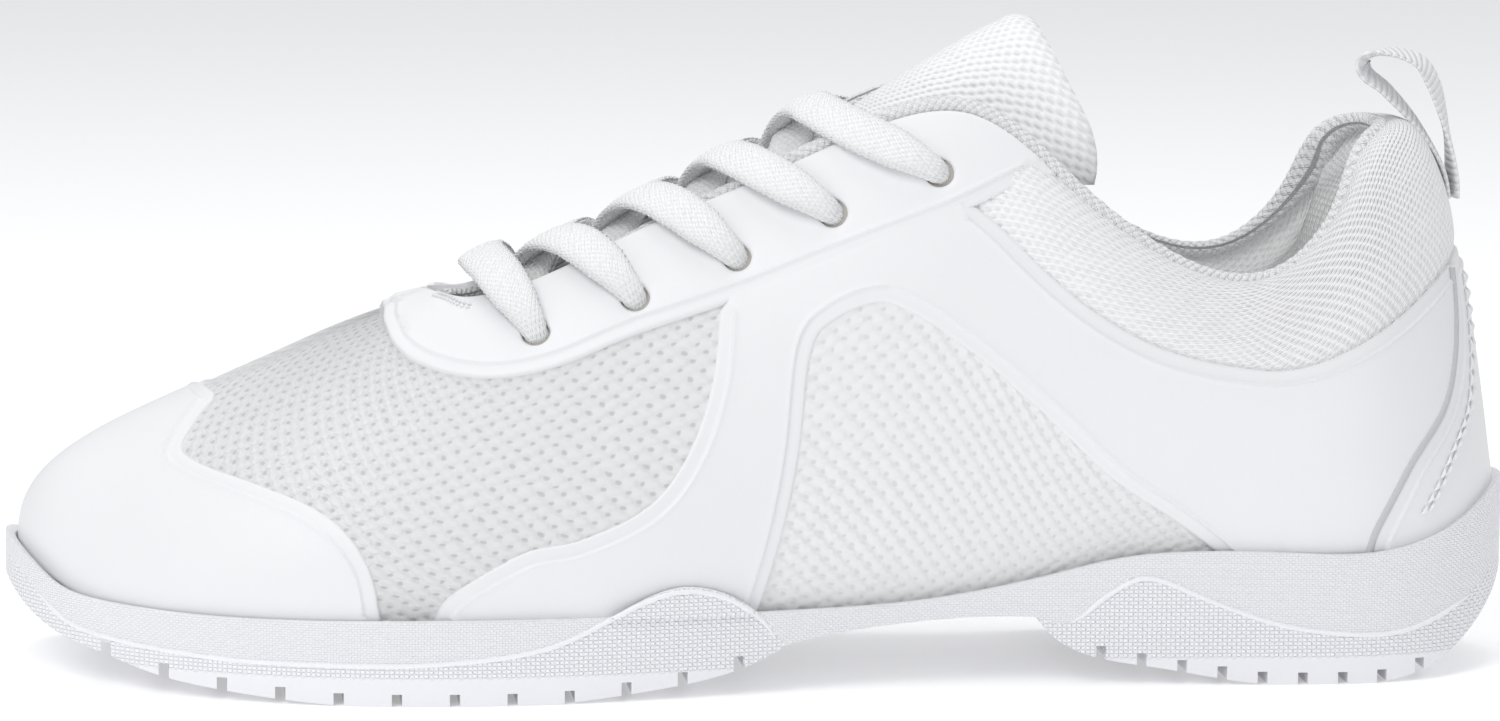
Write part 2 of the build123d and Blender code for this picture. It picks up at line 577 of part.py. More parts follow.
# ---- writing the nodes ---------------------------------------------------------------------------
def build_all():
    nodes = {}
    forefoot_tread, wing, heel_tread, forefoot, heel, forefoot_core, heel_core = outsole_pieces()
    nodes["outsole_forefoot"] = grooved(forefoot_tread, FOREFOOT_GROOVES) + wing
    nodes["outsole_heel"] = grooved(heel_tread, HEEL_GROOVES)
    nodes["midsole"] = midsole_piece(forefoot, heel, forefoot_core, heel_core)
    nodes["strobel_board"] = slab_on_seat(STROBEL_INSET, 0.1, STROBEL)
    foam_top = STROBEL + PLY_GAP + INSOLE
    nodes["insole_foam"] = slab_on_seat(INSOLE_INSET, STROBEL + PLY_GAP, foam_top)
    cover_foot = foam_top + PLY_GAP
    nodes["insole_cover"] = slab_on_seat(INSOLE_INSET, cover_foot, cover_foot + INSOLE_COVER)

    nodes["vamp_mesh"] = rounded_eyelets(band(29.1, 70.9, -1.0, TOP_RISE, 0, MESH, across=10))
    quarters = {"quarter_mesh_outer": (0.15, 28.9), "quarter_mesh_inner": (71.1, 99.85)}
    for name, (first, last) in quarters.items():
        nodes[name] = rounded_eyelets(band(first, last, -1.0, TOP_RISE, 0, MESH, across=10))
    nodes["vamp_lining"] = rounded_eyelets(
        band(29.1, 70.9, LINING_FOOT, LINING_TOP, VAMP_LINING_DEPTH, VAMP_LINING_DEPTH + LINING,
             across=14, spacing=1.2))
    linings = {"quarter_lining_outer": (0.15, 28.9), "quarter_lining_inner": (71.1, 99.85)}
    for name, (first, last) in linings.items():
        nodes[name] = rounded_eyelets(
            band(first, last, LINING_FOOT, LINING_TOP, quarter_lining_depth,
                 lambda station, rise: quarter_lining_depth(station, rise) + LINING, across=12))
    nodes["collar_foam"] = band(
        -20.5, 20.5, 0.50, FOAM_TOP_RISE, MESH + PLY_GAP,
        lambda station, rise: MESH + PLY_GAP + collar_foam_thickness(station, rise), across=12, spacing=1.0)
    nodes["heel_counter"] = band(-11, 11, -0.9, 0.44, MESH + PLY_GAP, MESH + PLY_GAP + COUNTER)
    nodes["toe_puff"] = band(41.5, 58.5, -0.8, 0.36, MESH + PLY_GAP, MESH + PLY_GAP + STIFFENER,
                             across=10, spacing=0.9)
    for name, (first, last) in {"eyelet_tape_outer": (22.3, 38.0), "eyelet_tape_inner": (62.0, 77.7)}.items():
        nodes[name] = rounded_eyelets(
            band(first, last, 0.73, 0.93, MESH + PLY_GAP, MESH + PLY_GAP + TAPE, across=6))

    nodes["toe_cap"] = toe_cap()
    nodes["eyestay"] = rounded_eyelets(
        band(19.3, 80.7, lambda s: stay_edge(s) + 0.004, TOP_RISE, -PLY_GAP - OVERLAY, -PLY_GAP, spacing=0.9))
    nodes["saddle_outer"] = saddle(-1)
    nodes["saddle_inner"] = saddle(1)
    nodes["backstay"] = backstay()
    nodes["topline_binding"] = topline_binding()

    last_row = len(TONGUE_ROWS) - 1
    for name, (outside, inside) in TONGUE_PLIES.items():
        nodes["tongue_" + name] = tongue_ply(0, FOLD_ROW - TONGUE_GAP, outside, inside)
        nodes["tongue_tip_" + name] = tongue_ply(FOLD_ROW + TONGUE_GAP, last_row, outside, inside)
    nodes["pull_loop"] = pull_loop()
    nodes["lace"] = lace()
    nodes["aglet_outer"] = aglet(-1)
    nodes["aglet_inner"] = aglet(1)
    return nodes


os.makedirs("parts", exist_ok=True)
for node, shape in build_all().items():
    export_step(shape, f"parts/{node}.step")
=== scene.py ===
import math

import bpy
import numpy as np
from mathutils import Matrix, Vector, geometry


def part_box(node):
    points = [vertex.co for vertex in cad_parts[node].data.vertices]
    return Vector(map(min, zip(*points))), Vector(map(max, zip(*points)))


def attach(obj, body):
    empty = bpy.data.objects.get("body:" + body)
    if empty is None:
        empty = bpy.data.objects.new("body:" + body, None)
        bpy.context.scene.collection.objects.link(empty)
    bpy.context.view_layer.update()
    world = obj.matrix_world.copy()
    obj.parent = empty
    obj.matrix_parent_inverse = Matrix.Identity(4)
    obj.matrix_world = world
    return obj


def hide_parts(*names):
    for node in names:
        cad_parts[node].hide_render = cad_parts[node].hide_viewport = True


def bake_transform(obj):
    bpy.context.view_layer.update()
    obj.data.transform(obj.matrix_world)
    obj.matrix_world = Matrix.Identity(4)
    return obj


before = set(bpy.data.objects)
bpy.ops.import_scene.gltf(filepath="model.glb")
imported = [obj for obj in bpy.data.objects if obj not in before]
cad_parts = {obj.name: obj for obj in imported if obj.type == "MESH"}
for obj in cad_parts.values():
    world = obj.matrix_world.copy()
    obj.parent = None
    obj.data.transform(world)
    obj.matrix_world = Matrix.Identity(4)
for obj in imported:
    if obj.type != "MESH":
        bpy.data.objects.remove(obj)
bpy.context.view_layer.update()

MM = 0.001

# A white cheer shoe for the left foot.  Lengths below are in millimetres in the part's frame, and every
# mesh is scaled to metres as it is made.  The upper is one surface, addressed by a station (percent of
# the way round the shoe: 0 heel, 25 outer side, 50 toe, 75 inner side) and a rise (0 feather line, 1 top).

# ---- the upper's surface, as in the CAD ----
STATIONS = [
    (127.5, -17.0, 16.5, 30.5, 111.5, -10.5, 98.0, 2.0, 24.0, -1.5, 5.0, -1.0, 9.0),
    (117.5, -25.0, 25.3, 26.0, 106.0, -18.5, 94.0, 4.0, 24.0, -1.0, 9.0, 2.0, 5.0),
    (103.5, -28.8, 29.3, 23.6, 101.0, -23.5, 83.5, 5.0, 20.0, 0.0, 10.0, 1.0, 1.5),
    (86.0, -29.0, 29.0, 24.0, 89.5, -26.0, 73.0, 5.0, 18.0, 0.0, 8.0, 3.0, 0.0),
    (69.0, -28.6, 26.0, 23.8, 72.5, -26.5, 75.0, 5.0, 20.0, 0.0, 7.0, 5.0, 0.0),
    (52.5, -27.8, 24.0, 20.6, 53.0, -25.0, 88.6, 6.0, 24.0, -1.0, 7.0, 12.0, 0.0),
    (37.0, -27.8, 23.2, 17.5, 36.0, -21.5, 102.0, 7.0, 28.0, -1.0, 9.0, 20.0, 0.0),
    (20.0, -29.2, 24.5, 15.5, 17.5, -17.5, 99.2, 8.0, 27.0, -1.0, 12.0, 22.0, 0.0),
    (0.0, -33.2, 29.2, 14.8, -3.0, -14.5, 89.3, 7.5, 24.0, -1.0, 13.0, 20.0, 0.0),
    (-22.0, -38.4, 36.0, 14.8, -22.5, -13.0, 80.4, 6.0, 21.0, -1.0, 14.0, 15.0, 0.0),
    (-44.0, -42.0, 41.6, 15.2, -39.5, -12.2, 71.6, 4.5, 18.0, -1.0, 14.0, 10.0, -2.0),
    (-66.5, -42.2, 43.0, 15.2, -51.5, -9.8, 67.2, 3.5, 16.0, -1.0, 13.0, 7.0, -8.0),
    (-88.5, -37.5, 41.4, 15.0, -56.0, -6.6, 67.0, 2.5, 15.0, -1.0, 10.0, 6.0, -18.0),
    (-107.5, -28.6, 37.2, 15.0, -58.0, -3.8, 67.3, 1.5, 15.0, -1.0, 7.0, 8.0, -29.0),
    (-122.0, -15.0, 30.5, 17.0, -58.8, -1.6, 67.5, 1.0, 15.0, -1.0, 3.0, 11.0, -39.0),
]
HEEL_SECTION = [(133.8, 0, 33.0), (130.0, 0, 56.0), (125.0, 0, 99.5), (113.5, 0, 98.4)]
TOE_SECTION = [(-133.2, 8.5, 22.5), (-134.0, 7.5, 41.0), (-105.0, 2.5, 46.5), (-59.2, 0.6, 67.8)]

# ---- panel outlines, as (station, rise) on the outer side ----
TOE_CAP_EDGE = [(38.0, -0.03), (38.4, 0.166), (39.6, 0.298), (41.9, 0.376), (45.2, 0.436), (46.0, 0.46),
                (46.5, 0.53), (47.3, 0.61), (50.0, 0.65)]
ARM_FRONT = [(36.9, -0.03), (36.4, 0.08), (34.7, 0.192), (33.2, 0.218), (31.4, 0.286), (30.3, 0.40),
             (29.6, 0.55), (29.3, 0.70)]
WINDOW = [(28.8, -0.03), (28.2, 0.124), (27.8, 0.234), (27.4, 0.36), (26.9, 0.558), (26.2, 0.606),
          (25.0, 0.608), (24.0, 0.564), (22.6, 0.488), (20.9, 0.412), (19.1, 0.332), (17.1, 0.204),
          (15.0, 0.082), (13.4, -0.03)]
COLLAR_EDGE = [(2.9, 0.50), (6.6, 0.488), (10.7, 0.518), (13.6, 0.572), (16.5, 0.60), (19.7, 0.682),
               (21.9, 0.762)]
EYESTAY_EDGE = [(19.2, 0.985), (20.7, 0.845), (22.2, 0.76), (24.0, 0.728), (27.4, 0.722), (31.6, 0.696),
                (33.9, 0.666), (36.0, 0.668), (38.7, 0.722), (40.4, 0.772), (42.2, 0.835), (44.6, 0.888),
                (47.2, 0.917), (50.0, 0.925)]
BACKSTAY_EDGE = [(8.7, -0.02), (8.3, 0.07), (6.9, 0.18), (4.8, 0.25), (3.8, 0.32), (3.2, 0.40), (2.8, 0.49)]
BACK_SEAM = [(2.0, 0.47), (2.3, 0.37), (2.8, 0.28), (3.5, 0.214), (4.6, 0.166), (5.6, 0.114), (6.6, 0.06)]
THROAT_SEAM = [(42.0, 0.975), (39.5, 0.965), (37.4, 0.93)]
EYELETS = [(34.6, 0.776), (31.6, 0.788), (28.7, 0.812), (26.1, 0.828), (23.1, 0.84)]
HOLE_RADIUS = 2.5
STATION_MM = 5.8            # about how far one percent of the way round is
RISE_MM = 75.0              # about how far it is from the feather line to the top

# ---- the tongue and the loop, as in the CAD ----
TONGUE_PITCH = 26.0
TONGUE_ROWS = [
    (-66.0, 55.5, 15.0, 12.0, 66), (-50.0, 63.3, 17.0, 24.0, 66), (-32.0, 72.3, 18.5, 33.0, 66),
    (-12.0, 83.0, 18.5, 38.0, 66), (4.0, 92.5, 18.5, 38.0, 66), (15.0, 99.8, 19.0, 36.0, 66),
    (20.5, 103.6, 18.5, 35.0, 66), (28.0, 108.4, 17.0, 33.0, 72), (38.0, 114.3, 16.0, 31.0, 86),
    (48.0, 119.2, 15.5, 30.0, 99),
]
TONGUE_THICKNESS = 4.0
LOOP_LINE = [
    (125.6, 84.8), (124.8, 89.5), (122.9, 94.0), (119.6, 98.9), (114.8, 104.0), (111.0, 107.2),
    (110.2, 109.6), (112.4, 111.0), (116.5, 110.9), (120.6, 109.2), (123.2, 105.6), (125.0, 100.5),
    (126.4, 94.0), (127.1, 88.5), (127.2, 84.8),
]
WEBBING = 1.3
WEBBING_WIDTH = 11.0

# ---- the lace's route, as in the CAD: over the hole, under it, under the stay's edge, over the edge ----
LACE_ROWS = [
    ((-43.1, 24.7, 64.7), (-41.0, 18.2, 58.3), (-45.5, 9.0, 64.6), (-48.5, 12.5, 72.6)),
    ((-25.4, 25.1, 70.6), (-23.7, 17.6, 65.3), (-29.5, 9.6, 72.2), (-34.5, 13.5, 79.0)),
    ((-7.3, 24.8, 77.4), (-5.4, 16.4, 73.2), (-13.0, 9.9, 80.2), (-19.5, 14.3, 86.6)),
    ((9.5, 25.8, 85.2), (11.9, 17.2, 81.8), (2.5, 11.0, 87.8), (-5.0, 15.3, 93.2)),
    ((28.4, 27.9, 92.5), (30.2, 19.2, 89.7), None, (10.5, 17.2, 100.6)),
]
LACE_CROSSINGS = [(-41.1, 72.2, 77.6), (-25.5, 79.6, 85.0), (-10.0, 87.8, 93.4), (5.6, 97.4, 103.2)]
LACE_BAR = (-51.0, 4.0, 74.6)
LACE_TAIL = [
    (30.6, 22.0, 80.0), (28.0, 24.2, 68.0), (22.0, 25.2, 54.5), (12.0, 24.2, 41.0), (-2.0, 22.2, 29.5),
    (-18.0, 22.0, 21.8), (-37.0, 23.5, 18.8), (-56.0, 24.5, 18.6), (-75.0, 24.0, 18.6),
]
INNER_TAIL_SCALE = 0.88
LACE_WIDTH = 8.5
LACE_THICKNESS = 2.4


# ---- the camera and the light ----
def add_camera():
    azimuth, elevation, roll = math.radians(-6.0), math.radians(7.5), math.radians(-0.55)
    back = Vector((math.sin(azimuth) * math.cos(elevation), -math.cos(azimuth) * math.cos(elevation),
                   math.sin(elevation)))
    right = Vector((math.cos(azimuth), math.sin(azimuth), 0))
    up = back.cross(right)
    turned_right = math.cos(roll) * right - math.sin(roll) * up
    turned_up = math.sin(roll) * right + math.cos(roll) * up
    data = bpy.data.cameras.new("camera")
    data.lens = 145.2
    data.sensor_width = 36
    data.clip_start = 0.05
    camera = bpy.data.objects.new("camera", data)
    rotation = Matrix((turned_right, turned_up, back)).transposed()
    place = Vector((-0.0019, 0, 0.0548)) + 1.1 * back
    camera.matrix_world = Matrix.Translation(place) @ rotation.to_4x4()
    bpy.context.scene.collection.objects.link(camera)
    bpy.context.scene.camera = camera


def add_light(name, place, aim, size, energy):
    data = bpy.data.lights.new(name, "AREA")
    data.size = size
    data.energy = energy
    light = bpy.data.objects.new(name, data)
    light.location = place
    light.rotation_euler = (Vector(aim) - Vector(place)).to_track_quat("-Z", "Y").to_euler()
    bpy.context.scene.collection.objects.link(light)


def add_stage():
    """A wide pale sheet that the shoe stands on."""
    reach = np.linspace(-5.0, 5.0, 5)
    points = [(x, y, 0.0) for y in reach for x in reach]
    faces = [(5 * i + j, 5 * i + j + 1, 5 * i + j + 6, 5 * i + j + 5) for i in range(4) for j in range(4)]
    mesh = bpy.data.meshes.new("floor")
    mesh.from_pydata(points, [], faces)
    mesh.polygons.foreach_set("use_smooth", [True] * len(faces))
    floor = bpy.data.objects.new("floor", mesh)
    bpy.context.scene.collection.objects.link(floor)
    paper = plain_material("floor_paper", (0.93, 0.93, 0.935), 0.9)
    shader = paper.node_tree.nodes["Principled BSDF"]
    shader.inputs["Emission Color"].default_value = (1, 1, 1, 1)
    shader.inputs["Emission Strength"].default_value = 0.22
    floor.data.materials.append(paper)


def add_world():
    world = bpy.data.worlds.new("studio")
    world.use_nodes = True
    background = world.node_tree.nodes["Background"]
    background.inputs["Color"].default_value = (0.97, 0.98, 1.0, 1)
    background.inputs["Strength"].default_value = 0.53
    bpy.context.scene.world = world
    bpy.context.scene.view_settings.view_transform = "Standard"


# ---- materials ----
def plain_material(name, colour, roughness):
    material = bpy.data.materials.new(name)
    material.use_nodes = True
    shader = material.node_tree.nodes["Principled BSDF"]
    shader.inputs["Base Color"].default_value = (*colour, 1)
    shader.inputs["Roughness"].default_value = roughness
    return material


class Surface:
    """A material being built: small steps that each add a node and return its output."""

    def __init__(self, name, roughness, sheen=0.0):
        self.material = plain_material(name, (0.9, 0.9, 0.9), roughness)
        self.tree = self.material.node_tree
        self.shader = self.tree.nodes["Principled BSDF"]
        self.shader.inputs["Sheen Weight"].default_value = sheen
        self.shader.inputs["Specular IOR Level"].default_value = 0.35

    def node(self, kind, **values):
        made = self.tree.nodes.new(kind)
        for key, value in values.items():
            setattr(made, key, value)
        return made

    def feed(self, socket, value):
        if isinstance(value, (int, float, tuple)):
            socket.default_value = value
        else:
            self.tree.links.new(value, socket)

    def math(self, operation, *values):
        made = self.node("ShaderNodeMath", operation=operation)
        for socket, value in zip(made.inputs, values):
            self.feed(socket, value)
        return made.outputs[0]

    def flat(self):
        """The two coordinates of the fabric, in millimetres."""
        split = self.node("ShaderNodeSeparateXYZ")
        self.feed(split.inputs[0], self.node("ShaderNodeTexCoord").outputs["UV"])
        return split.outputs[0], split.outputs[1]

    def wall(self):
        """Distance along a side wall and height, in millimetres, for a piece with no fabric coordinates."""
        place = self.node("ShaderNodeSeparateXYZ")
        self.feed(place.inputs[0], self.node("ShaderNodeTexCoord").outputs["Object"])
        facing = self.node("ShaderNodeSeparateXYZ")
        self.feed(facing.inputs[0], self.node("ShaderNodeNewGeometry").outputs["True Normal"])
        sideways = self.math("GREATER_THAN", self.math("ABSOLUTE", facing.outputs[1]),
                             self.math("ABSOLUTE", facing.outputs[0]))
        along = self.math("ADD", self.math("MULTIPLY", place.outputs[0], sideways),
                          self.math("MULTIPLY", place.outputs[1], self.math("SUBTRACT", 1.0, sideways)))
        return self.math("MULTIPLY", along, 1000.0), self.math("MULTIPLY", place.outputs[2], 1000.0)

    def noise(self, scale, detail=2.0):
        made = self.node("ShaderNodeTexNoise")
        made.inputs["Scale"].default_value = scale
        made.inputs["Detail"].default_value = detail
        self.feed(made.inputs["Vector"], self.node("ShaderNodeTexCoord").outputs["Object"])
        return made.outputs[0]

    def wave(self, u, v, period_u, period_v, wander=None):
        """cos of a place along a direction: one ridge for each period."""
        total = self.math("ADD", self.math("MULTIPLY", u, 1 / period_u),
                          self.math("MULTIPLY", v, 1 / period_v))
        if wander is not None:
            total = self.math("ADD", total, wander)
        return self.math("COSINE", self.math("MULTIPLY", total, 2 * math.pi))

    def lattice(self, u, v, wide, tall, lean, wander):
        """Rows of grains, each row shifted by half a grain, that climb to the right."""
        along = self.math("MULTIPLY_ADD", v, lean, u)
        climbing = self.math("MULTIPLY_ADD", u, -lean, v)
        first = self.wave(along, 0.0, wide, 1.0, wander)
        second = self.wave(climbing, 0.0, tall, 1.0, wander)
        return self.math("MULTIPLY", first, second)

    def mapped(self, value, low, high, to_low, to_high):
        made = self.node("ShaderNodeMapRange")
        made.interpolation_type = "SMOOTHSTEP"
        for socket, item in zip(made.inputs, (value, low, high, to_low, to_high)):
            self.feed(socket, item)
        return made.outputs[0]

    def colour(self, part, dark, light):
        mix = self.node("ShaderNodeMix", data_type="RGBA")
        self.feed(mix.inputs[0], part)
        self.feed(mix.inputs[6], (*dark, 1))
        self.feed(mix.inputs[7], (*light, 1))
        self.feed(self.shader.inputs["Base Color"], mix.outputs[2])

    def bump(self, height, millimetres):
        made = self.node("ShaderNodeBump")
        made.inputs["Distance"].default_value = millimetres * MM
        self.feed(made.inputs["Height"], height)
        self.feed(self.shader.inputs["Normal"], made.outputs[0])
        return self.material


def knit(name, wide, tall, lean, pore, depth, light=(0.92, 0.92, 0.925)):
    """Knitted grains in leaning rows, with painted shade in the gaps between them and fine yarn on top."""
    s = Surface(name, 0.85, sheen=0.25)
    u, v = s.flat()
    wander = s.math("MULTIPLY", s.math("SUBTRACT", s.noise(350.0), 0.5), 0.45)
    grain = s.lattice(u, v, wide, tall, lean, wander)
    yarn = s.wave(u, v, 0.62, 0.34)
    height = s.math("ADD", s.mapped(grain, -0.9, 0.9, 0.0, 1.0), s.math("MULTIPLY", yarn, 0.09))
    # The darker colour in the gaps is painted shade, laid where the grain's bump is lowest.
    s.colour(s.mapped(grain, -0.98, -0.45, 0.0, 1.0), pore, light)
    return s.bump(height, depth)


def ribbed(name, period, slope, depth, dark=(0.80, 0.80, 0.81), light=(0.93, 0.93, 0.935)):
    """Fine ribs across the cloth, each broken into short loops."""
    s = Surface(name, 0.9, sheen=0.3)
    u, v = s.flat()
    wander = s.math("MULTIPLY", s.noise(220.0, 3.0), 0.9)
    rib = s.wave(u, v, period / slope, period, wander)
    loop = s.wave(u, v, 1.5, 3.1, wander)
    height = s.math("ADD", s.math("MULTIPLY", rib, 0.5), s.math("MULTIPLY", loop, 0.28))
    # The dark colour is painted shade, laid in the low parts between the ribs and loops.
    s.colour(s.mapped(height, -0.7, 0.2, 0.0, 1.0), dark, light)
    return s.bump(height, depth)


def smooth_leather(name):
    """Matt coated leather with a very fine grain and faint broad unevenness."""
    s = Surface(name, 0.42)
    fine = s.noise(2600.0, 4.0)
    broad = s.noise(45.0, 2.0)
    s.colour(broad, (0.835, 0.835, 0.85), (0.865, 0.865, 0.88))
    return s.bump(s.math("ADD", s.math("MULTIPLY", fine, 0.25), s.math("MULTIPLY", broad, 1.2)), 0.12)


def embossed_rubber(name, pitch, depth, colour, edge=None):
    """Moulded rubber with a fine all-over emboss, smooth below a height."""
    s = Surface(name, 0.5)
    along, height = s.wall()
    cells = s.lattice(along, height, pitch, pitch * 0.8, 0.0, 0.0)
    relief = s.mapped(cells, -0.4, 0.5, 0.0, 1.0)
    if edge is not None:
        relief = s.math("MULTIPLY", relief, s.mapped(height, edge, edge + 0.7, 0.0, 1.0))
    relief = s.math("ADD", relief, s.math("MULTIPLY", s.noise(900.0, 3.0), 0.15))
    # The colour is 7% darker in the emboss's hollows: painted shade, with a little random tone from the
    # noise.
    s.colour(s.mapped(relief, 0.0, 1.1, 0.0, 1.0), tuple(c * 0.93 for c in colour), colour)
    return s.bump(relief, depth)


def webbing(name):
    s = Surface(name, 0.7, sheen=0.2)
    u, v = s.flat()
    rib = s.wave(u, 0.0, 1.35, 1.0)
    # The dark colour is painted shade in the grooves between the ribs.
    s.colour(s.mapped(rib, -1.0, 0.4, 0.0, 1.0), (0.80, 0.80, 0.82), (0.92, 0.92, 0.93))
    return s.bump(s.math("ADD", rib, s.math("MULTIPLY", s.wave(0.0, v, 1.0, 0.5), 0.2)), 0.14)


def speckled(name, colour, roughness, scale, depth):
    """Foams, boards, thread and lace tips: an even colour with its own fine surface."""
    s = Surface(name, roughness)
    grain = s.noise(scale, 4.0)
    s.colour(grain, tuple(c * 0.9 for c in colour), colour)
    return s.bump(grain, depth)


# ---- surfaces and meshes ----
def smooth_ring(points, where):
    """Values at where (0 to 1) on the periodic cubic spline through equally spaced points."""
    count = len(points)
    identity = np.eye(count)
    matrix = 4 * identity + np.roll(identity, 1, 0) + np.roll(identity, -1, 0)
    second = 6 * (np.roll(points, -1, 0) - 2 * points + np.roll(points, 1, 0))
    bend = np.linalg.solve(matrix, second.reshape(count, -1)).reshape(points.shape)
    place = (where % 1) * count
    low = np.floor(place).astype(int) % count
    high = (low + 1) % count
    part = (place - np.floor(place)).reshape(place.shape + (1,) * (points.ndim - 1))
    rest = 1 - part
    curve = (rest**3 - rest) * bend[low] + (part**3 - part) * bend[high]
    return rest * points[low] + part * points[high] + curve / 6


def section_handles():
    sides = []
    for side in (-1, 1):
        sections = []
        for x, outer, inner, z, tx, ty, tz, out, up, ahead, top_out, down, back in STATIONS:
            y = outer if side < 0 else inner
            top = (tx, -side * ty, tz)
            low = (x + ahead, y + side * out, z + up)
            high = (tx + back, top[1] + side * top_out, tz - down)
            sections.append([(x, y, z), low, high, top])
        sides.append(sections)
    return np.array([HEEL_SECTION] + sides[0] + [TOE_SECTION] + sides[1][::-1], float)


SECTIONS = section_handles()
STEP = 1e-4


def upper_surface(station, rise):
    """Points of the knitted outer's face.  Below rise 0 the skirt drops straight down."""
    station, rise = np.broadcast_arrays(np.asarray(station, float), np.asarray(rise, float))
    handles = smooth_ring(SECTIONS, station / 100)
    t = np.maximum(rise, 0)
    weights = np.stack([(1 - t) ** 3, 3 * t * (1 - t) ** 2, 3 * t * t * (1 - t), t**3], -1)
    points = (weights[..., None] * handles).sum(-2)
    points[..., 2] += np.minimum(rise, 0) * RISE_MM
    return points


def upper_normal(station, rise):
    rise = np.maximum(rise, 0.001)
    along = upper_surface(station + 100 * STEP, rise) - upper_surface(station - 100 * STEP, rise)
    up = upper_surface(station, rise + STEP) - upper_surface(station, rise - STEP)
    normal = np.cross(up, along)
    return normal / np.linalg.norm(normal, axis=-1, keepdims=True)


def raised(station, rise, height):
    """Points that stand a height off the knit's face."""
    height = np.broadcast_to(height, np.shape(station))[..., None]
    return upper_surface(station, rise) + height * upper_normal(station, rise)


def unit(steps):
    return steps / np.linalg.norm(steps, axis=1, keepdims=True)


def directions(line):
    """Which way a line of points runs, at each of them."""
    return unit(np.gradient(line, axis=0))


def walked_along(line):
    """The distance walked to each point of a line."""
    return np.concatenate([[0], np.cumsum(np.linalg.norm(np.diff(line, axis=0), axis=1))])


def eased(part):
    part = np.clip(part, 0, 1)
    return part * part * (3 - 2 * part)


def piece(name, points, faces, flat, material, slot, body="shoe", replaces=()):
    """A mesh piece from points in millimetres, with its fabric coordinates, on a body."""
    mesh = bpy.data.meshes.new(name)
    places = (np.asarray(points, float) * MM).tolist()
    mesh.from_pydata(places, [], [tuple(int(i) for i in f) for f in faces])
    corners = np.zeros(len(mesh.loops), int)
    mesh.loops.foreach_get("vertex_index", corners)
    layer = mesh.uv_layers.new(name="fabric")
    layer.data.foreach_set("uv", np.asarray(flat, float)[corners].astype(np.float32).ravel())
    mesh.polygons.foreach_set("use_smooth", [True] * len(mesh.polygons))
    mesh.validate()
    made = bpy.data.objects.new(name, mesh)
    bpy.context.scene.collection.objects.link(made)
    mesh.materials.append(material)
    if body:
        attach(made, body)
    if replaces:
        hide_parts(*replaces)
    return made


def grid_faces(rows, columns, start=0, flip=False, closed=False):
    wide = columns if closed else columns - 1
    faces = []
    for i in range(rows - 1):
        for j in range(wide):
            k = (j + 1) % columns
            face = (start + i * columns + j, start + i * columns + k,
                    start + (i + 1) * columns + k, start + (i + 1) * columns + j)
            faces.append(face[::-1] if flip else face)
    return faces


def shell(front, back):
    """Points and faces of a closed sheet between two grids."""
    rows, columns = front.shape[:2]
    count = rows * columns
    points = np.concatenate([front.reshape(-1, 3), back.reshape(-1, 3)])
    faces = grid_faces(rows, columns) + grid_faces(rows, columns, count, flip=True)
    edge = [i * columns for i in range(rows)][::-1] + list(range(1, columns))
    edge += [i * columns + columns - 1 for i in range(1, rows)]
    edge += [(rows - 1) * columns + j for j in range(1, columns - 1)][::-1]
    for a, b in zip(edge, edge[1:] + edge[:1]):
        faces.append((a, a + count, b + count, b))
    return points, faces


def band(name, first, last, low, high, outside, inside, material, slot, spacing=1.2, **more):
    """A cloth between two stations and two rises; outside and inside are heights, or functions."""
    columns = int(abs(last - first) * STATION_MM / spacing)
    rows = int((high - low) * RISE_MM / spacing)
    station, rise = np.meshgrid(np.linspace(first, last, columns), np.linspace(low, high, rows),
                                indexing="ij")
    heights = [h(station, rise) if callable(h) else h for h in (outside, inside)]
    front, back = (raised(station, rise, h) for h in heights)
    points, faces = shell(front, back)
    flat = np.stack([station * STATION_MM, rise * RISE_MM], -1).reshape(-1, 2)
    return piece(name, points, faces, np.concatenate([flat, flat]), material, slot, **more)


def smooth_line(points, spacing=0.8):
    """An even walk along the Catmull-Rom curve through (station, rise) points."""
    scale = np.array([STATION_MM, RISE_MM])
    p = np.array(points, float) * scale
    p = np.concatenate([[2 * p[0] - p[1]], p, [2 * p[-1] - p[-2]]])
    t = np.linspace(0, 1, 24, endpoint=False)[:, None]
    runs = []
    for a, b, c, d in zip(p, p[1:], p[2:], p[3:]):
        runs.append(0.5 * (2 * b + (c - a) * t + (2 * a - 5 * b + 4 * c - d) * t**2
                           + (3 * b - a - 3 * c + d) * t**3))
    line = np.concatenate(runs + [p[-2:-1]])
    walked = walked_along(line)
    even = np.linspace(0, walked[-1], max(3, int(walked[-1] / spacing)))
    return np.stack([np.interp(even, walked, line[:, i]) for i in (0, 1)], -1) / scale


def opposite(points):
    """The same outline on the inner side, walked the other way."""
    return [(100 - s, r) for s, r in points][::-1]


def moved(place, step):
    """(station, rise) after a step in space, in millimetres, along the surface."""
    station, rise = place[:, 0], np.maximum(place[:, 1], 0.002)
    along = (upper_surface(station + 0.01, rise) - upper_surface(station - 0.01, rise)) / 0.02
    up = (upper_surface(station, rise + 1e-3) - upper_surface(station, rise - 1e-3)) / 2e-3
    aa, au, uu = (along * along).sum(1), (along * up).sum(1), (up * up).sum(1)
    sa, su = (step * along).sum(1), (step * up).sum(1)
    scale = aa * uu - au * au
    return place + np.stack([(sa * uu - su * au) / scale, (su * aa - sa * au) / scale], -1)


def distance_to(points, line, closed=False):
    """How far each point is from a polyline in space."""
    a = line if closed else line[:-1]
    b = np.roll(line, -1, 0) if closed else line[1:]
    run = b - a
    found = []
    for chunk in np.array_split(points, max(1, len(points) // 1500)):
        gap = chunk[:, None] - a[None]
        part = np.clip((gap * run).sum(-1) / np.maximum((run * run).sum(-1), 1e-9), 0, 1)
        found.append(np.linalg.norm(gap - part[..., None] * run, axis=-1).min(1))
    return np.concatenate(found)


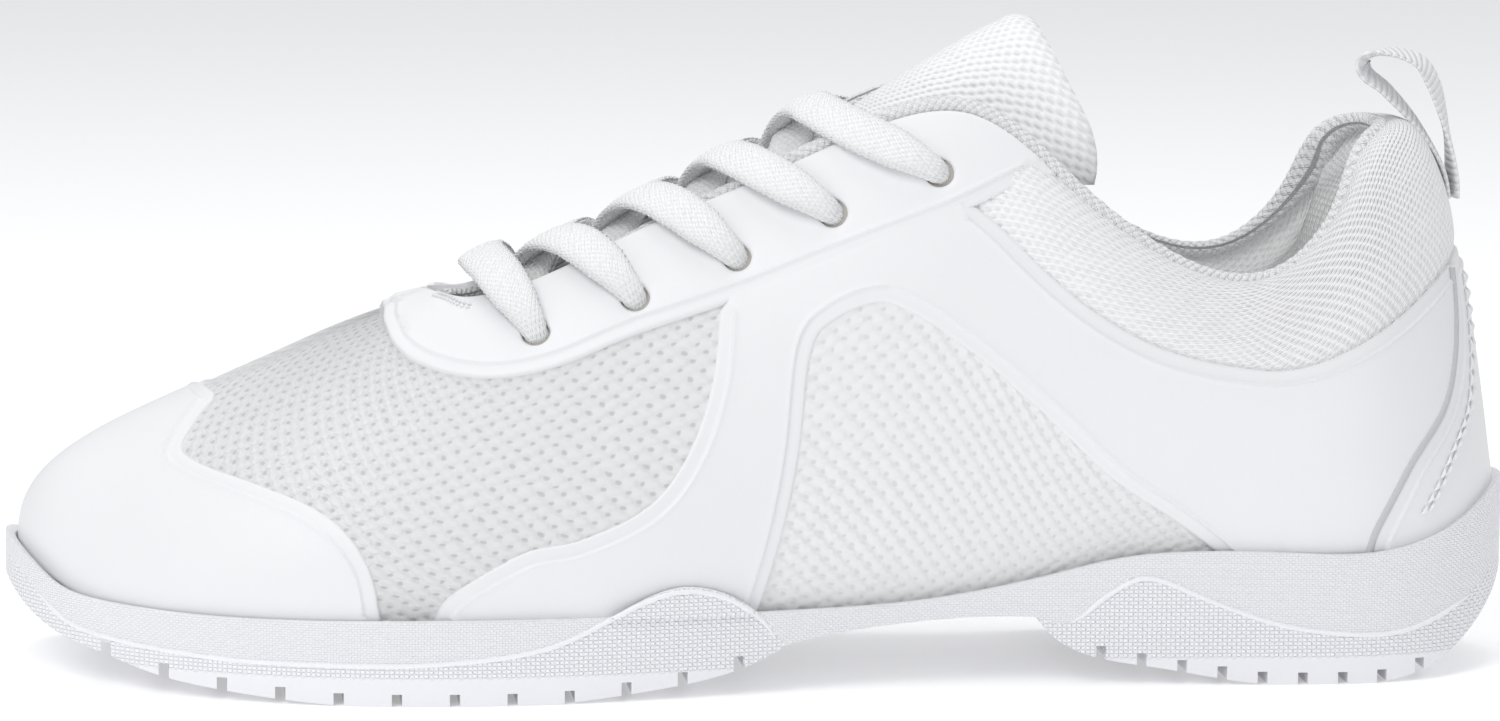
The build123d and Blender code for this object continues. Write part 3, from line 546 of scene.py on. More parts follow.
def inside_outline(place, outline):
    """Which (station, rise) places lie inside a closed outline."""
    x, y = place[:, 0], place[:, 1]
    within = np.zeros(len(place), bool)
    for (ax, ay), (bx, by) in zip(outline, np.roll(outline, -1, 0)):
        crosses = (ay > y) != (by > y)
        if ay != by:
            within ^= crosses & (x < (bx - ax) * (y - ay) / (by - ay) + ax)
    return within


EDGE_RINGS = [0.12, 0.35, 0.7, 1.4, 2.1, 2.35, 2.55, 2.75, 2.95, 3.3, 3.9]
HOLE_RINGS = [0.0, 0.12, 0.3, 0.6, 1.1]
HOLE_CLEAR = 1.4            # no point of the plain grid comes nearer a hole


def ring_inside(outline, distance):
    """The outline drawn in by a distance, without the points that come too near another part of it."""
    line = upper_surface(outline[:, 0], outline[:, 1])
    tangent = np.roll(line, -1, 0) - np.roll(line, 1, 0)
    tangent /= np.maximum(np.linalg.norm(tangent, axis=1, keepdims=True), 1e-9)
    inward = np.cross(upper_normal(outline[:, 0], outline[:, 1]), tangent)
    place = moved(outline, inward * distance)
    within = inside_outline(place, outline)
    if within.mean() < 0.5:
        place = moved(outline, -inward * distance)
        within = inside_outline(place, outline)
    place = place[within]
    away = distance_to(upper_surface(place[:, 0], place[:, 1]), line, closed=True)
    return place[away > distance * 0.97 - 0.02]


def hole_ring(centre, radius):
    turn = np.linspace(0, 2 * math.pi, 28, endpoint=False)
    station, rise = np.full(28, centre[0]), np.full(28, centre[1])
    normal = upper_normal(station, rise)
    side = np.cross(normal, (0.0, 0.0, 1.0))
    side = unit(side)
    up = np.cross(side, normal)
    step = radius * (np.cos(turn)[:, None] * side + np.sin(turn)[:, None] * up)
    return moved(np.stack([station, rise], -1), step)


def overlay(name, styled, plain, material, slot, holes=(), base=0.0, replaces=(), grid=1.5):
    """A smooth panel with a low border band and a crisp raised line inside it, along its styled edges.

    styled is a list of edges and plain a list of edges that tuck under something, in the order walked."""
    scale = np.array([STATION_MM, RISE_MM])
    outline = np.concatenate([line for _, line in sorted(styled + plain, key=lambda e: e[0])])
    keep = np.linalg.norm((outline - np.roll(outline, 1, 0)) * scale, axis=1) > 0.15
    outline = outline[keep]
    low, high = outline.min(0), outline.max(0)
    station, rise = np.meshgrid(np.arange(low[0], high[0], grid / STATION_MM),
                                np.arange(low[1], high[1], grid / RISE_MM), indexing="ij")
    field = np.stack([station, rise], -1).reshape(-1, 2)
    field = field[inside_outline(field, outline)]
    edge_line = upper_surface(outline[:, 0], outline[:, 1])
    away = distance_to(upper_surface(field[:, 0], field[:, 1]), edge_line, closed=True)
    field = field[away > EDGE_RINGS[-1] + 0.5]
    rings = [ring_inside(outline, d) for d in EDGE_RINGS]
    hole_outlines = [hole_ring(centre, HOLE_RADIUS) for centre in holes]
    for centre, hole in zip(holes, hole_outlines):
        gap = distance_to(upper_surface(field[:, 0], field[:, 1]), upper_surface(*hole.T), closed=True)
        field = field[(gap > HOLE_CLEAR) & ~inside_outline(field, hole)]
        rings += [hole_ring(centre, HOLE_RADIUS + d) for d in HOLE_RINGS]
    places = np.concatenate([outline] + rings + [field]) * scale
    count = len(outline)
    edges = [(i, (i + 1) % count) for i in range(count)]
    made = geometry.delaunay_2d_cdt([Vector(p) for p in places], edges, [], 0, 1e-4)
    places = np.array([tuple(v) for v in made[0]]) / scale
    faces = np.array([f for f in made[2] if len(f) == 3])
    middles = places[faces].mean(1)
    keep = inside_outline(middles, outline)
    for hole in hole_outlines:
        keep &= ~inside_outline(middles, hole)
    faces = faces[keep]
    points = upper_surface(places[:, 0], places[:, 1])
    wall = distance_to(points, edge_line, closed=True)
    height = base + np.interp(wall, [0, 0.12, 0.35, 0.7], [-0.6, 0.5, 0.74, 0.8])
    ridge = np.min([distance_to(points, upper_surface(line[:, 0], line[:, 1])) for _, line in styled],
                   axis=0)
    height += np.interp(ridge, [2.3, 2.5, 2.72, 2.95, 3.4], [0, 0.1, 0.5, 0.58, 0.36])
    for hole in hole_outlines:
        line = upper_surface(hole[:, 0], hole[:, 1])
        gap = distance_to(points, line, closed=True)
        height -= np.interp(gap, [0, 0.12, 0.4, 1.0], [1.5, 0.35, 0.1, 0])
    normal = upper_normal(places[:, 0], places[:, 1])
    points = points + height[:, None] * normal
    first, second, third = (points[faces[:, i]] for i in range(3))
    facing = (np.cross(second - first, third - first) * normal[faces[:, 0]]).sum(1)
    faces[facing < 0] = faces[facing < 0][:, ::-1]
    return piece(name, points, faces, places * scale, material, slot, replaces=replaces)


def tube(name, centre, first, second, material, slot, around=16, **more):
    """A closed tube: centre points, and at each the two half axes of its oval as vectors."""
    turn = np.linspace(0, 2 * math.pi, around, endpoint=False)
    ring = np.cos(turn)[None, :, None] * first[:, None] + np.sin(turn)[None, :, None] * second[:, None]
    points = (centre[:, None] + ring).reshape(-1, 3)
    faces = grid_faces(len(centre), around, closed=True)
    faces += [tuple(range(around))[::-1], tuple(range(len(points) - around, len(points)))]
    walked = walked_along(centre)
    girth = np.linalg.norm(first, axis=1).mean() * 4 + np.linalg.norm(second, axis=1).mean() * 2
    flat = np.stack(np.meshgrid(walked, turn / (2 * math.pi) * girth, indexing="ij"), -1).reshape(-1, 2)
    return piece(name, points, faces, flat, material, slot, **more)


def stitches(name, line, height, pitch, radius, material, body="shoe"):
    """Thread stitches that lie along a (station, rise) line."""
    outline = smooth_line(line, pitch)
    points = raised(outline[:, 0], outline[:, 1], height)
    normal = upper_normal(outline[:, 0], outline[:, 1])
    all_points, all_faces = [], []
    for index in range(len(points) - 1):
        run = points[index + 1] - points[index]
        part = np.linspace(0.08, 0.92, 7)
        centre = points[index] + part[:, None] * run
        hump = np.sin(math.pi * (part - 0.08) / 0.84)
        centre += (hump[:, None] * radius * 1.3 - radius * 0.6) * normal[index]
        side = np.cross(normal[index], run / np.linalg.norm(run))
        thick = radius * (0.35 + 0.65 * hump[:, None])
        turn = np.linspace(0, 2 * math.pi, 8, endpoint=False)
        ring = np.cos(turn)[None, :, None] * (thick * side)[:, None]
        ring = ring + np.sin(turn)[None, :, None] * (thick * normal[index])[:, None]
        start = 56 * index
        all_points.append((centre[:, None] + ring).reshape(-1, 3))
        all_faces += grid_faces(7, 8, start, closed=True)
        all_faces += [tuple(range(start, start + 8))[::-1], tuple(range(start + 48, start + 56))]
    points = np.concatenate(all_points)
    return piece(name, points, all_faces, points[:, [0, 2]], material, "binding_knit", body=body)


# ---- the upper's pieces ----
def line_set(*parts):
    """Edges in walking order, each as (place in the order, points)."""
    return [(index, smooth_line(points)) for index, points in parts]


def add_knit(cloths):
    def swell(station, rise):
        """The knit stands a little proud in the middle of each opening."""
        return 0.35 * eased((rise - 0.02) / 0.15) * eased((0.75 - rise) / 0.1)

    band("vamp_knit", 29.0, 71.0, -0.05, 1.0, swell, -0.9, cloths["vamp"], "vamp_knit", spacing=1.4,
         replaces=["vamp_mesh"])
    for name, first, last in (("outer", 0.0, 29.0), ("inner", 71.0, 100.0)):
        band("quarter_knit_" + name, first, last, -0.05, 0.985, swell, -0.9, cloths["quarter"],
             "quarter_knit", spacing=1.4, replaces=["quarter_mesh_" + name])


def collar_depth(station, rise):
    """How far the collar's lining lies behind the knit: over the full foam in the roll, thin elsewhere."""
    near_heel = np.minimum(station % 100, 100 - station % 100)
    along = eased((22.5 - near_heel) / 8)
    up = eased((rise - 0.44) / 0.26)
    over = 1 - eased((rise - 0.78) / 0.22)
    return -(2.4 - 1.4 * eased((rise - 0.86) / 0.14) + 5.3 * along * up * over)


def add_linings(cloths):
    band("vamp_lining_cloth", 29.0, 71.0, 0.0, 0.99, -2.0, -2.6, cloths["lining"], "lining_knit",
         spacing=2.0, replaces=["vamp_lining"])
    band("collar_lining", -29.0, 29.0, 0.0, 1.015, collar_depth, lambda s, r: collar_depth(s, r) - 0.6,
         cloths["air_mesh"], "air_mesh", spacing=1.2,
         replaces=["quarter_lining_outer", "quarter_lining_inner", "collar_foam"])


def add_collar(cloths):
    """The padded jersey of the collar, from one stay round the heel to the other."""
    lower = COLLAR_EDGE[::-1] + [(0.0, 0.502)] + [(-s, r) for s, r in COLLAR_EDGE]
    line = smooth_line(lower)
    rows = 34
    part = np.linspace(0, 1, rows)
    station = np.repeat(line[:, :1], rows, 1)
    bottom = line[:, 1:] - 0.012
    rise = bottom * (1 - part) + 0.992 * part
    edge = upper_surface(line[:, 0], line[:, 1])
    gap = distance_to(upper_surface(station, rise).reshape(-1, 3), edge).reshape(station.shape)
    front = np.minimum(eased((22.2 - np.abs(station)) / 2.5), 1)
    height = 0.15 + 1.9 * (1 - np.exp(-gap / 3.5)) * eased((1.03 - rise) / 0.16) * front
    front_grid = raised(station, rise, height)
    back_grid = raised(station, rise, -0.7)
    points, faces = shell(front_grid, back_grid)
    flat = np.stack([station * STATION_MM, rise * RISE_MM], -1).reshape(-1, 2)
    made = piece("collar_jersey", points, faces, np.concatenate([flat, flat]), cloths["jersey"],
                 "quarter_knit")


def add_overlays(leather):
    mirrored_cap = opposite(TOE_CAP_EDGE)
    cap = smooth_line(TOE_CAP_EDGE + mirrored_cap[1:])
    foot = smooth_line([(62.0, -0.03), (56.0, -0.03), (50.0, -0.03), (44.0, -0.03), (38.0, -0.03)])
    overlay("toe_cap_overlay", [(0, cap)], [(1, foot)], leather, "overlay", replaces=["toe_cap"])

    stay = smooth_line(EYESTAY_EDGE + opposite(EYESTAY_EDGE)[1:])
    top = smooth_line([(80.8, 0.985), (70.0, 0.99), (60.0, 0.99), (50.0, 0.99), (40.0, 0.99),
                       (30.0, 0.99), (19.2, 0.985)])
    holes = EYELETS + [(100 - s, r) for s, r in EYELETS]
    overlay("eyestay_overlay", [(0, stay)], [(1, top)], leather, "overlay", holes=holes, base=0.35,
            replaces=["eyestay"])

    under_stay = [(29.2, 0.735), (27.4, 0.74), (24.5, 0.748), (22.3, 0.778)]
    seat = [(8.4, -0.03), (6.0, 0.16), (3.6, 0.27), (2.6, 0.40), (2.3, 0.50)]
    for name, flip in (("outer", False), ("inner", True)):
        order = [(0, ARM_FRONT), (1, under_stay), (2, COLLAR_EDGE[::-1]), (3, seat[::-1]),
                 (4, [(8.4, -0.03), (13.4, -0.03)]), (5, WINDOW[::-1]),
                 (6, [(28.8, -0.03), (32.8, -0.03), (36.9, -0.03)])]
        styled = line_set(*[e for e in order if e[0] in (0, 2, 5)])
        plain = line_set(*[e for e in order if e[0] in (1, 3, 4, 6)])
        if flip:
            styled = [(i, np.stack([100 - p[:, 0], p[:, 1]], -1)) for i, p in styled]
            plain = [(i, np.stack([100 - p[:, 0], p[:, 1]], -1)) for i, p in plain]
        overlay("saddle_overlay_" + name, styled, plain, leather, "overlay",
                replaces=["saddle_" + name])

    stay_line = [(-s, r) for s, r in BACKSTAY_EDGE]
    edge = smooth_line(BACKSTAY_EDGE + [(0.0, 0.515)] + stay_line[::-1])
    base = smooth_line([(-8.7, -0.02), (0.0, -0.02), (8.7, -0.02)])
    overlay("backstay_overlay", [(0, edge)], [(1, base)], leather, "overlay", base=0.55,
            replaces=["backstay"])


def add_binding(material):
    """The looped roll along the top edge; it widens over the sharp curves beside the heel."""
    station = np.linspace(-43.0, 43.0, 700)
    top = upper_surface(station, 1.0)
    normal = upper_normal(station, 0.995)
    along = directions(top)
    up = np.cross(along, normal)
    up *= np.sign((up * (top - upper_surface(station, 0.97))).sum(1))[:, None]
    near = np.abs(station)
    wide = np.exp(-((near - 7.0) / 2.6) ** 2)
    small = eased((near - 26) / 6)
    radius = (1.55 - 0.35 * small) * (1 + 0.05 * np.sin(np.arange(700) * 1.7))
    centre = top + (0.6 - 0.5 * small)[:, None] * up - (0.35 + 1.6 * wide + 0.6 * small)[:, None] * normal
    ends = np.sqrt(np.clip(np.minimum(np.arange(700), np.arange(700)[::-1]) / 8, 0.02, 1))
    tube("topline_roll", centre, (radius * ends)[:, None] * up,
         ((radius + 2.0 * wide) * ends)[:, None] * normal, material, "binding_knit", around=20,
         replaces=["topline_binding"])


def add_seams(thread, fold):
    for sign, side in ((1, "outer"), (-1, "inner")):
        line = [(sign * s, r) for s, r in BACK_SEAM]
        stitches("back_seam_first_" + side, line, 1.95, 2.3, 0.34, thread)
        second = [(sign * (s - 0.35 - 0.1 * (0.5 - r)), r) for s, r in BACK_SEAM]
        stitches("back_seam_second_" + side, second, 1.95, 2.3, 0.34, thread)
        edge = smooth_line([(sign * (s + 0.06), r) for s, r in BACKSTAY_EDGE], 0.9)
        centre = raised(edge[:, 0], edge[:, 1], 1.05)
        normal = upper_normal(edge[:, 0], edge[:, 1])
        along = directions(centre)
        # The fold's material is darker grey than the leather: painted shade along the backstay's folded
        # edge.
        tube("backstay_fold_" + side, centre, 0.75 * np.cross(normal, along), 0.6 * normal, fold,
             "binding_knit", around=12)
        throat = THROAT_SEAM if sign > 0 else opposite(THROAT_SEAM)
        for row, drop in (("upper", 0.0), ("lower", 0.014)):
            stitches(f"throat_seam_{row}_{side}", [(s, r - drop) for s, r in throat], 1.65, 2.0, 0.3,
                     thread)


# ---- the tongue ----
def tongue_points(row, part, depth):
    rows = np.array(TONGUE_ROWS, float)
    places = np.arange(len(rows))
    x, z, half, droop, angle = [np.interp(row, places, rows[:, i]) for i in range(5)]
    turn = np.radians(angle) * part
    fall = (droop - depth) * np.cos(turn) - droop
    pitch = math.radians(TONGUE_PITCH)
    return np.stack([x - fall * math.sin(pitch), (half - depth) * np.sin(turn),
                     z + fall * math.cos(pitch)], -1)


def puffed(made, pinned):
    """Swells a padded piece by cloth simulation and keeps only a small part of the movement."""
    group = made.vertex_groups.new(name="sewn")
    group.add([int(i) for i in pinned], 1.0, "REPLACE")
    rest = np.array([tuple(v.co) for v in made.data.vertices])
    cloth = made.modifiers.new("puff", "CLOTH")
    cloth.settings.vertex_group_mass = "sewn"
    cloth.settings.use_pressure = True
    cloth.settings.uniform_pressure_force = 3.0
    cloth.settings.effector_weights.gravity = 0
    cloth.settings.quality = 4
    scene = bpy.context.scene
    for number in range(1, 16):
        scene.frame_set(number)
    view = bpy.context.evaluated_depsgraph_get()
    shaped = made.evaluated_get(view).data
    moved_to = np.array([tuple(v.co) for v in shaped.vertices])
    scene.frame_set(1)
    made.modifiers.remove(cloth)
    made.vertex_groups.clear()
    step = moved_to - rest
    length = np.linalg.norm(step, axis=1, keepdims=True)
    most = 1.2 * MM
    step *= np.minimum(1, most / np.maximum(length, 1e-9))
    made.data.vertices.foreach_set("co", (rest + step).astype(np.float32).ravel())
    made.data.update()


def add_tongue(cloth):
    rows, columns = 96, 44
    row, part = np.meshgrid(np.linspace(0, len(TONGUE_ROWS) - 1, rows), np.linspace(-1, 1, columns),
                            indexing="ij")
    row = row * (1 - 0.04 * np.clip((np.abs(part) - 0.72) / 0.28, 0, 1) ** 2)
    end = 1 - np.clip((row - row[-1] + 0.35) / 0.35, 0, 1)
    rim = np.minimum(eased((1 - np.abs(part)) / 0.16), eased(end))
    swell = np.sqrt(rim)
    front = tongue_points(row, part, 2.0 - 2.2 * swell)
    back = tongue_points(row, part, 2.0 + (TONGUE_THICKNESS - 2.0) * swell + 0.02)
    points, faces = shell(front, back)
    flat = np.stack([row * 13.0, part * 26.0], -1).reshape(-1, 2)
    made = piece("tongue_pad", points, faces, np.concatenate([flat, flat]), cloth, "tongue_jersey",
                 body=None, replaces=["tongue_cover", "tongue_foam", "tongue_lining", "tongue_tip_cover",
                                      "tongue_tip_foam", "tongue_tip_lining"])
    edge = (row < 0.3) | (np.abs(part) > 0.9)
    pinned = np.flatnonzero(np.concatenate([edge.ravel(), edge.ravel()]))
    puffed(made, pinned)
    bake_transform(made)


# ---- the pull loop ----
def add_pull_loop(material):
    line = np.array(LOOP_LINE, float)
    place = np.linspace(0, len(line) - 1, 170)
    low = np.clip(np.floor(place).astype(int), 0, len(line) - 2)
    part = (place - low)[:, None]
    before = line[np.maximum(low - 1, 0)]
    after = line[np.minimum(low + 2, len(line) - 1)]
    a, b = line[low], line[low + 1]
    curve = 0.5 * (2 * a + (b - before) * part + (2 * before - 5 * a + 4 * b - after) * part**2
                   + (3 * a - before - 3 * b + after) * part**3)
    centre = np.stack([curve[:, 0], np.zeros(len(curve)), curve[:, 1]], -1)
    along = directions(centre)
    twist = math.radians(24) * eased((centre[:, 2] - 86) / 22)
    across = np.stack([np.sin(twist), np.cos(twist), np.zeros(len(twist))], -1)
    across -= (across * along).sum(1)[:, None] * along
    across = unit(across)
    face = np.cross(along, across)
    width = np.linspace(-0.5, 0.5, 13)
    thick = WEBBING / 2 * np.sqrt(1 - (1.88 * width) ** 2 * 0.96)
    steps = WEBBING_WIDTH * width
    middle = centre[:, None] + steps[None, :, None] * across[:, None]
    front = middle + thick[None, :, None] * face[:, None]
    back = middle - thick[None, :, None] * face[:, None]
    points, faces = shell(front, back)
    walked = walked_along(centre)
    flat = np.stack(np.meshgrid(walked, steps, indexing="ij"), -1).reshape(-1, 2)
    piece("pull_loop_webbing", points, faces, np.concatenate([flat, flat]), material, "webbing",
          body="pull_loop", replaces=["pull_loop"])


# ---- the lace ----
def mirrored(point, side):
    return (point[0], side * point[1], point[2])


def lace_half(side):
    points = [mirrored(LACE_BAR, side)]
    for index, (over, below, under_edge, landing) in enumerate(LACE_ROWS):
        points.append(mirrored(landing, side))
        points.append(mirrored(over, side))
        points.append(mirrored(below, side))
        if under_edge is None:
            break
        points.append(mirrored(under_edge, side))
        x, lower, upper = LACE_CROSSINGS[index]
        points.append((x, 0, upper if side > 0 else lower))
        side = -side
    scale = INNER_TAIL_SCALE if side > 0 else 1.0
    points += [(x, side * y * scale, z) for x, y, z in LACE_TAIL]
    return points


def lace_centre():
    """Points read from the smooth curve that has the route's points as its control points."""
    route = lace_half(-1)[::-1] + lace_half(1)
    data = bpy.data.curves.new("lace_line", "CURVE")
    data.dimensions = "3D"
    data.resolution_u = 24
    spline = data.splines.new("NURBS")
    spline.points.add(len(route) - 1)
    for point, place in zip(spline.points, route):
        point.co = (*(c * MM for c in place), 1)
    spline.order_u = 3
    spline.use_endpoint_u = True
    curve = bpy.data.objects.new("lace_line", data)
    mesh = bpy.data.meshes.new_from_object(curve)
    points = np.array([tuple(v.co) for v in mesh.vertices]) / MM
    bpy.data.objects.remove(curve)
    bpy.data.meshes.remove(mesh)
    walked = walked_along(points)
    even = np.linspace(0, walked[-1], int(walked[-1] / 0.45))
    return np.stack([np.interp(even, walked, points[:, i]) for i in range(3)], -1)


def add_lace(material):
    centre = lace_centre()
    along = directions(centre)
    wanted = np.stack([np.full(len(centre), -0.42), 0.045 * centre[:, 1], np.full(len(centre), 0.9)], -1)
    wanted -= (wanted * along).sum(1)[:, None] * along
    face = np.zeros_like(centre)
    middle = len(centre) // 2
    for direction in (1, -1):
        held = wanted[middle] / np.linalg.norm(wanted[middle])
        index = middle
        while 0 <= index < len(centre):
            held = held - held.dot(along[index]) * along[index]
            held /= np.linalg.norm(held)
            aim = wanted[index] * (1 if wanted[index].dot(held) >= 0 else -1)
            held = held + 0.10 * aim
            held /= np.linalg.norm(held)
            face[index] = held
            index += direction
    side = np.cross(along, face)
    holes = np.array([upper_surface(s, r) for e in EYELETS for s, r in (e, (100 - e[0], e[1]))])
    near = np.linalg.norm(centre[:, None] - holes[None], axis=-1).min(1)
    ends = np.minimum(np.arange(len(centre)), np.arange(len(centre))[::-1]) * 0.45
    wide = np.interp(near, [0, 2.5, 9, 15], [2.0, 2.5, LACE_WIDTH / 2 - 0.35, LACE_WIDTH / 2])
    wide = np.minimum(wide, np.interp(ends, [0, 12], [1.5, LACE_WIDTH / 2]))
    thick = np.interp(near, [0, 3, 10], [1.9, 1.7, LACE_THICKNESS / 2])
    walked = np.arange(len(centre)) * 0.45
    around = 28
    turn = np.linspace(0, 2 * math.pi, around, endpoint=False)
    edge = np.abs(np.cos(turn)) ** 6
    loops = 1 + 0.05 * edge[None] * np.sin(2 * math.pi * walked / 1.25)[:, None]
    flat_oval = np.sign(np.sin(turn)) * np.abs(np.sin(turn)) ** 0.75
    rows = np.cos(4 * math.pi * np.cos(turn))[None] * 0.05
    ribs = 1 + rows + 0.045 * np.sin(2 * math.pi * walked / 1.9)[:, None] * (1 - edge)[None]
    ring = (wide[:, None] * loops * np.cos(turn)[None])[..., None] * side[:, None]
    ring = ring + (thick[:, None] * ribs * flat_oval[None])[..., None] * face[:, None]
    points = (centre[:, None] + ring).reshape(-1, 3)
    faces = grid_faces(len(centre), around, closed=True)
    faces += [tuple(range(around))[::-1], tuple(range(len(points) - around, len(points)))]
    flat = np.stack(np.meshgrid(walked, turn / (2 * math.pi) * 2.2 * LACE_WIDTH, indexing="ij"), -1)
    made = piece("lace_band", points, faces, flat.reshape(-1, 2), material, "lace_weave",
                 replaces=["lace"])


def add_hole_shades(material):
    """A dark brownish-grey disc across each lace hole: painted shade in the hole, in the colour of its raw
    edge.
    """
    for side in (0, 1):
        points, faces = [], []
        for station, rise in EYELETS:
            place = hole_ring((100 - station if side else station, rise), HOLE_RADIUS + 0.25)
            centre = place.mean(0, keepdims=True)
            start = len(points)
            points += list(raised(place[:, 0], place[:, 1], 0.42))
            points += list(raised(centre[:, 0], centre[:, 1], 0.42))
            faces += [(start + i, start + (i + 1) % 28, start + 28) for i in range(28)]
        points = np.array(points)
        piece("painted_hole_shade_" + ("inner" if side else "outer"), points, faces, points[:, [0, 2]], material,
              "stiffener")


# ---- the sole's moulded edges ----
HUMP = [(-131, 15.4), (-125, 10.9), (-116, 9.2), (-106, 8.3), (-94, 7.6), (-71, 7.5), (-56, 8.2),
        (-44, 9.8), (-36, 12.4), (-26, 17.4), (-18.5, 19.6), (-11, 18.6), (-4.2, 14.7), (-0.5, 10.2)]
HEEL_WRAP = [(50, 12.3), (54, 12.2), (59, 16.2), (65, 19.6), (70, 19.0), (79, 15.2), (90, 11.4), (100, 9.7),
             (110, 9.2), (118, 10.8), (128, 15.0)]


def add_sole_edges(material):
    """The raised moulded line along the top of each turned-up tread wall."""
    for name, curve in (("outsole_forefoot", HUMP), ("outsole_heel", HEEL_WRAP)):
        scale = np.array([STATION_MM, RISE_MM])
        line = smooth_line(np.array(curve) / scale, 1.0) * scale
        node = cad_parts[name]
        into = node.matrix_world.inverted()
        for side, label in ((-1, "outer"), (1, "inner")):
            centre = []
            for x, z in line:
                start = into @ Vector((x * MM, side * 0.09, (z - 0.5) * MM))
                found, place, _, _ = node.ray_cast(start, into.to_3x3() @ Vector((0, -side, 0)))
                if found:
                    place = node.matrix_world @ place
                    centre.append((x, place.y / MM - 0.1 * side, z - 0.35))
            centre = np.array(centre, float)
            kept = np.concatenate([[True], np.abs(np.diff(centre[:, 1])) < 3.0])
            centre = centre[kept]
            for index in (1, 2):
                inner = centre[1:-1].copy()
                inner[:, index] = (centre[:-2, index] + 2 * centre[1:-1, index] + centre[2:, index]) / 4
                centre[1:-1] = inner
            along = directions(centre)
            out = np.zeros_like(centre)
            out[:, 1] = side
            out -= (out * along).sum(1)[:, None] * along
            out = unit(out)
            thin = 0.45 * np.sqrt(np.clip(np.minimum(np.arange(len(centre)),
                                                     np.arange(len(centre))[::-1]) / 5, 0.03, 1))[:, None]
            tube(name + "_edge_" + label, centre, thin * out, thin * np.cross(out, along), material,
                 "outsole_rubber", around=10)


# ---- the footbed and the carried-over pieces ----
def add_footbed(cloth):
    """The sock sheet, a little dished, over the insole foam."""
    low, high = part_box("insole_cover")
    station = np.linspace(0, 100, 121)[:-1]
    edge = upper_surface(station, 0.0)
    inward = upper_normal(station, 0.02)
    inward[:, 2] = 0
    edge = edge - 4.2 * inward / np.linalg.norm(inward, axis=1, keepdims=True)
    spine = np.stack([np.clip(edge[:, 0], -88, 100),
                      np.interp(edge[:, 0], [-130, -60, 20, 130], [6, 1, 0, 0])], -1)
    part = np.linspace(0, 1, 16)[:, None, None]
    flat = spine[None] * (1 - part) + edge[None, :, :2] * part
    seat = np.interp(flat[..., 0], [-130, -120, -108, -95, -20, 0, 20, 40, 55, 70, 85, 140],
                     [16.6, 13.8, 11.6, 10.4, 10.4, 11.2, 12.8, 15.2, 17.4, 18.4, 18.6, 18.6])
    top = seat + 6.0 + 1.6 * part[..., 0] ** 5
    front = np.concatenate([flat, top[..., None]], -1)
    front = np.concatenate([front, front[:, :1]], 1)
    back = front - (0, 0, 0.5)
    points, faces = shell(front, back)
    points[:, 2] = np.clip(points[:, 2], low[2] / MM, high[2] / MM + 3)
    piece("sock_sheet", points, faces, points[:, :2], cloth, "lining_knit", replaces=["insole_cover"])


def dress_cad(materials):
    for name, material in materials.items():
        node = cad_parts[name]
        node.data.materials.clear()
        node.data.materials.append(material)
        node.data.polygons.foreach_set("material_index", [0] * len(node.data.polygons))


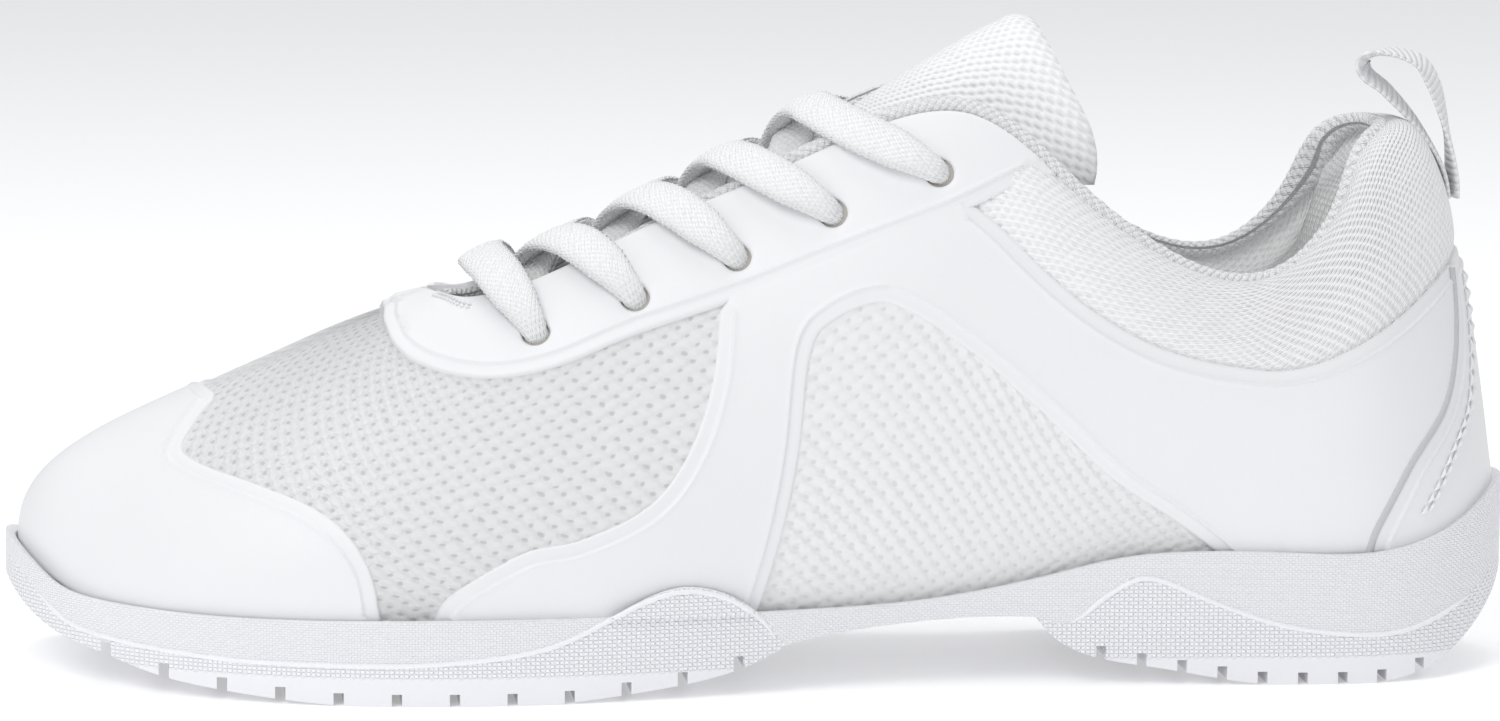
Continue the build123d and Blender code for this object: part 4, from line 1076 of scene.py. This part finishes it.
def build():
    add_camera()
    add_world()
    add_stage()
    add_light("key", (-0.65, -0.8, 1.1), (0, 0, 0.05), 0.8, 7.5)
    add_light("top", (0.15, 0.2, 1.3), (0, 0, 0.05), 1.0, 6.0)
    cloths = {
        "vamp": knit("vamp_knit", 3.9, 3.1, 0.24, (0.66, 0.67, 0.69), 0.6, light=(0.96, 0.96, 0.965)),
        "quarter": knit("quarter_knit", 3.7, 2.9, 0.24, (0.78, 0.79, 0.81), 0.45,
                        light=(0.96, 0.96, 0.965)),
        "jersey": ribbed("collar_jersey", 1.25, 0.28, 0.24, (0.86, 0.86, 0.87), (0.96, 0.96, 0.965)),
        "air_mesh": knit("air_mesh", 2.8, 2.2, 0.0, (0.70, 0.71, 0.72), 0.6, light=(0.97, 0.97, 0.97)),
        "lining": ribbed("lining_knit", 1.0, 0.05, 0.15),
    }
    # The air mesh glows faintly: painted light standing in for fill light inside the narrow collar opening.
    painted_fill_glow = cloths["air_mesh"].node_tree.nodes["Principled BSDF"]
    painted_fill_glow.inputs["Emission Color"].default_value = (0.97, 0.98, 0.98, 1)
    painted_fill_glow.inputs["Emission Strength"].default_value = 0.14
    lace_cloth = knit("lace_weave", 1.5, 1.0, 0.0, (0.87, 0.87, 0.885), 0.26, light=(0.97, 0.97, 0.97))
    add_lace(lace_cloth)
    leather = smooth_leather("smooth_overlay")
    add_knit(cloths)
    add_linings(cloths)
    add_collar(cloths)
    add_overlays(leather)
    add_binding(knit("binding_knit", 1.7, 1.5, 0.2, (0.70, 0.70, 0.72), 0.4))
    thread = speckled("thread", (0.92, 0.92, 0.93), 0.6, 3000.0, 0.1)
    # The backstay fold's darker grey is painted shade.
    add_seams(thread, speckled("folded_edge_painted_shade", (0.62, 0.62, 0.64), 0.8, 2400.0, 0.2))
    add_tongue(ribbed("tongue_jersey", 1.25, 0.25, 0.2, (0.86, 0.86, 0.87), (0.96, 0.96, 0.965)))
    add_pull_loop(webbing("webbing"))
    # The lace holes' dark discs are painted shade.
    add_hole_shades(speckled("raw_edge_painted_shade", (0.52, 0.50, 0.46), 0.9, 2500.0, 0.2))
    add_footbed(cloths["lining"])
    midsole = embossed_rubber("midsole_foam", 1.05, 0.16, (0.93, 0.93, 0.955))
    tread = embossed_rubber("outsole_rubber", 1.7, 0.28, (0.925, 0.925, 0.955), edge=4.6)
    add_sole_edges(speckled("moulded_edge", (0.94, 0.94, 0.965), 0.5, 1500.0, 0.04))
    board = speckled("strobel_board", (0.85, 0.85, 0.83), 0.9, 1500.0, 0.1)
    stiff = speckled("stiffener", (0.86, 0.86, 0.84), 0.6, 1800.0, 0.05)
    foam = speckled("insole_foam", (0.85, 0.86, 0.88), 0.9, 2000.0, 0.15)
    tip = speckled("lace_tip", (0.90, 0.90, 0.90), 0.2, 800.0, 0.03)
    dress_cad({
        "outsole_forefoot": tread, "outsole_heel": tread, "midsole": midsole, "strobel_board": board,
        "insole_foam": foam, "heel_counter": stiff, "toe_puff": stiff, "eyelet_tape_outer": stiff,
        "eyelet_tape_inner": stiff, "aglet_outer": tip, "aglet_inner": tip,
    })


build()
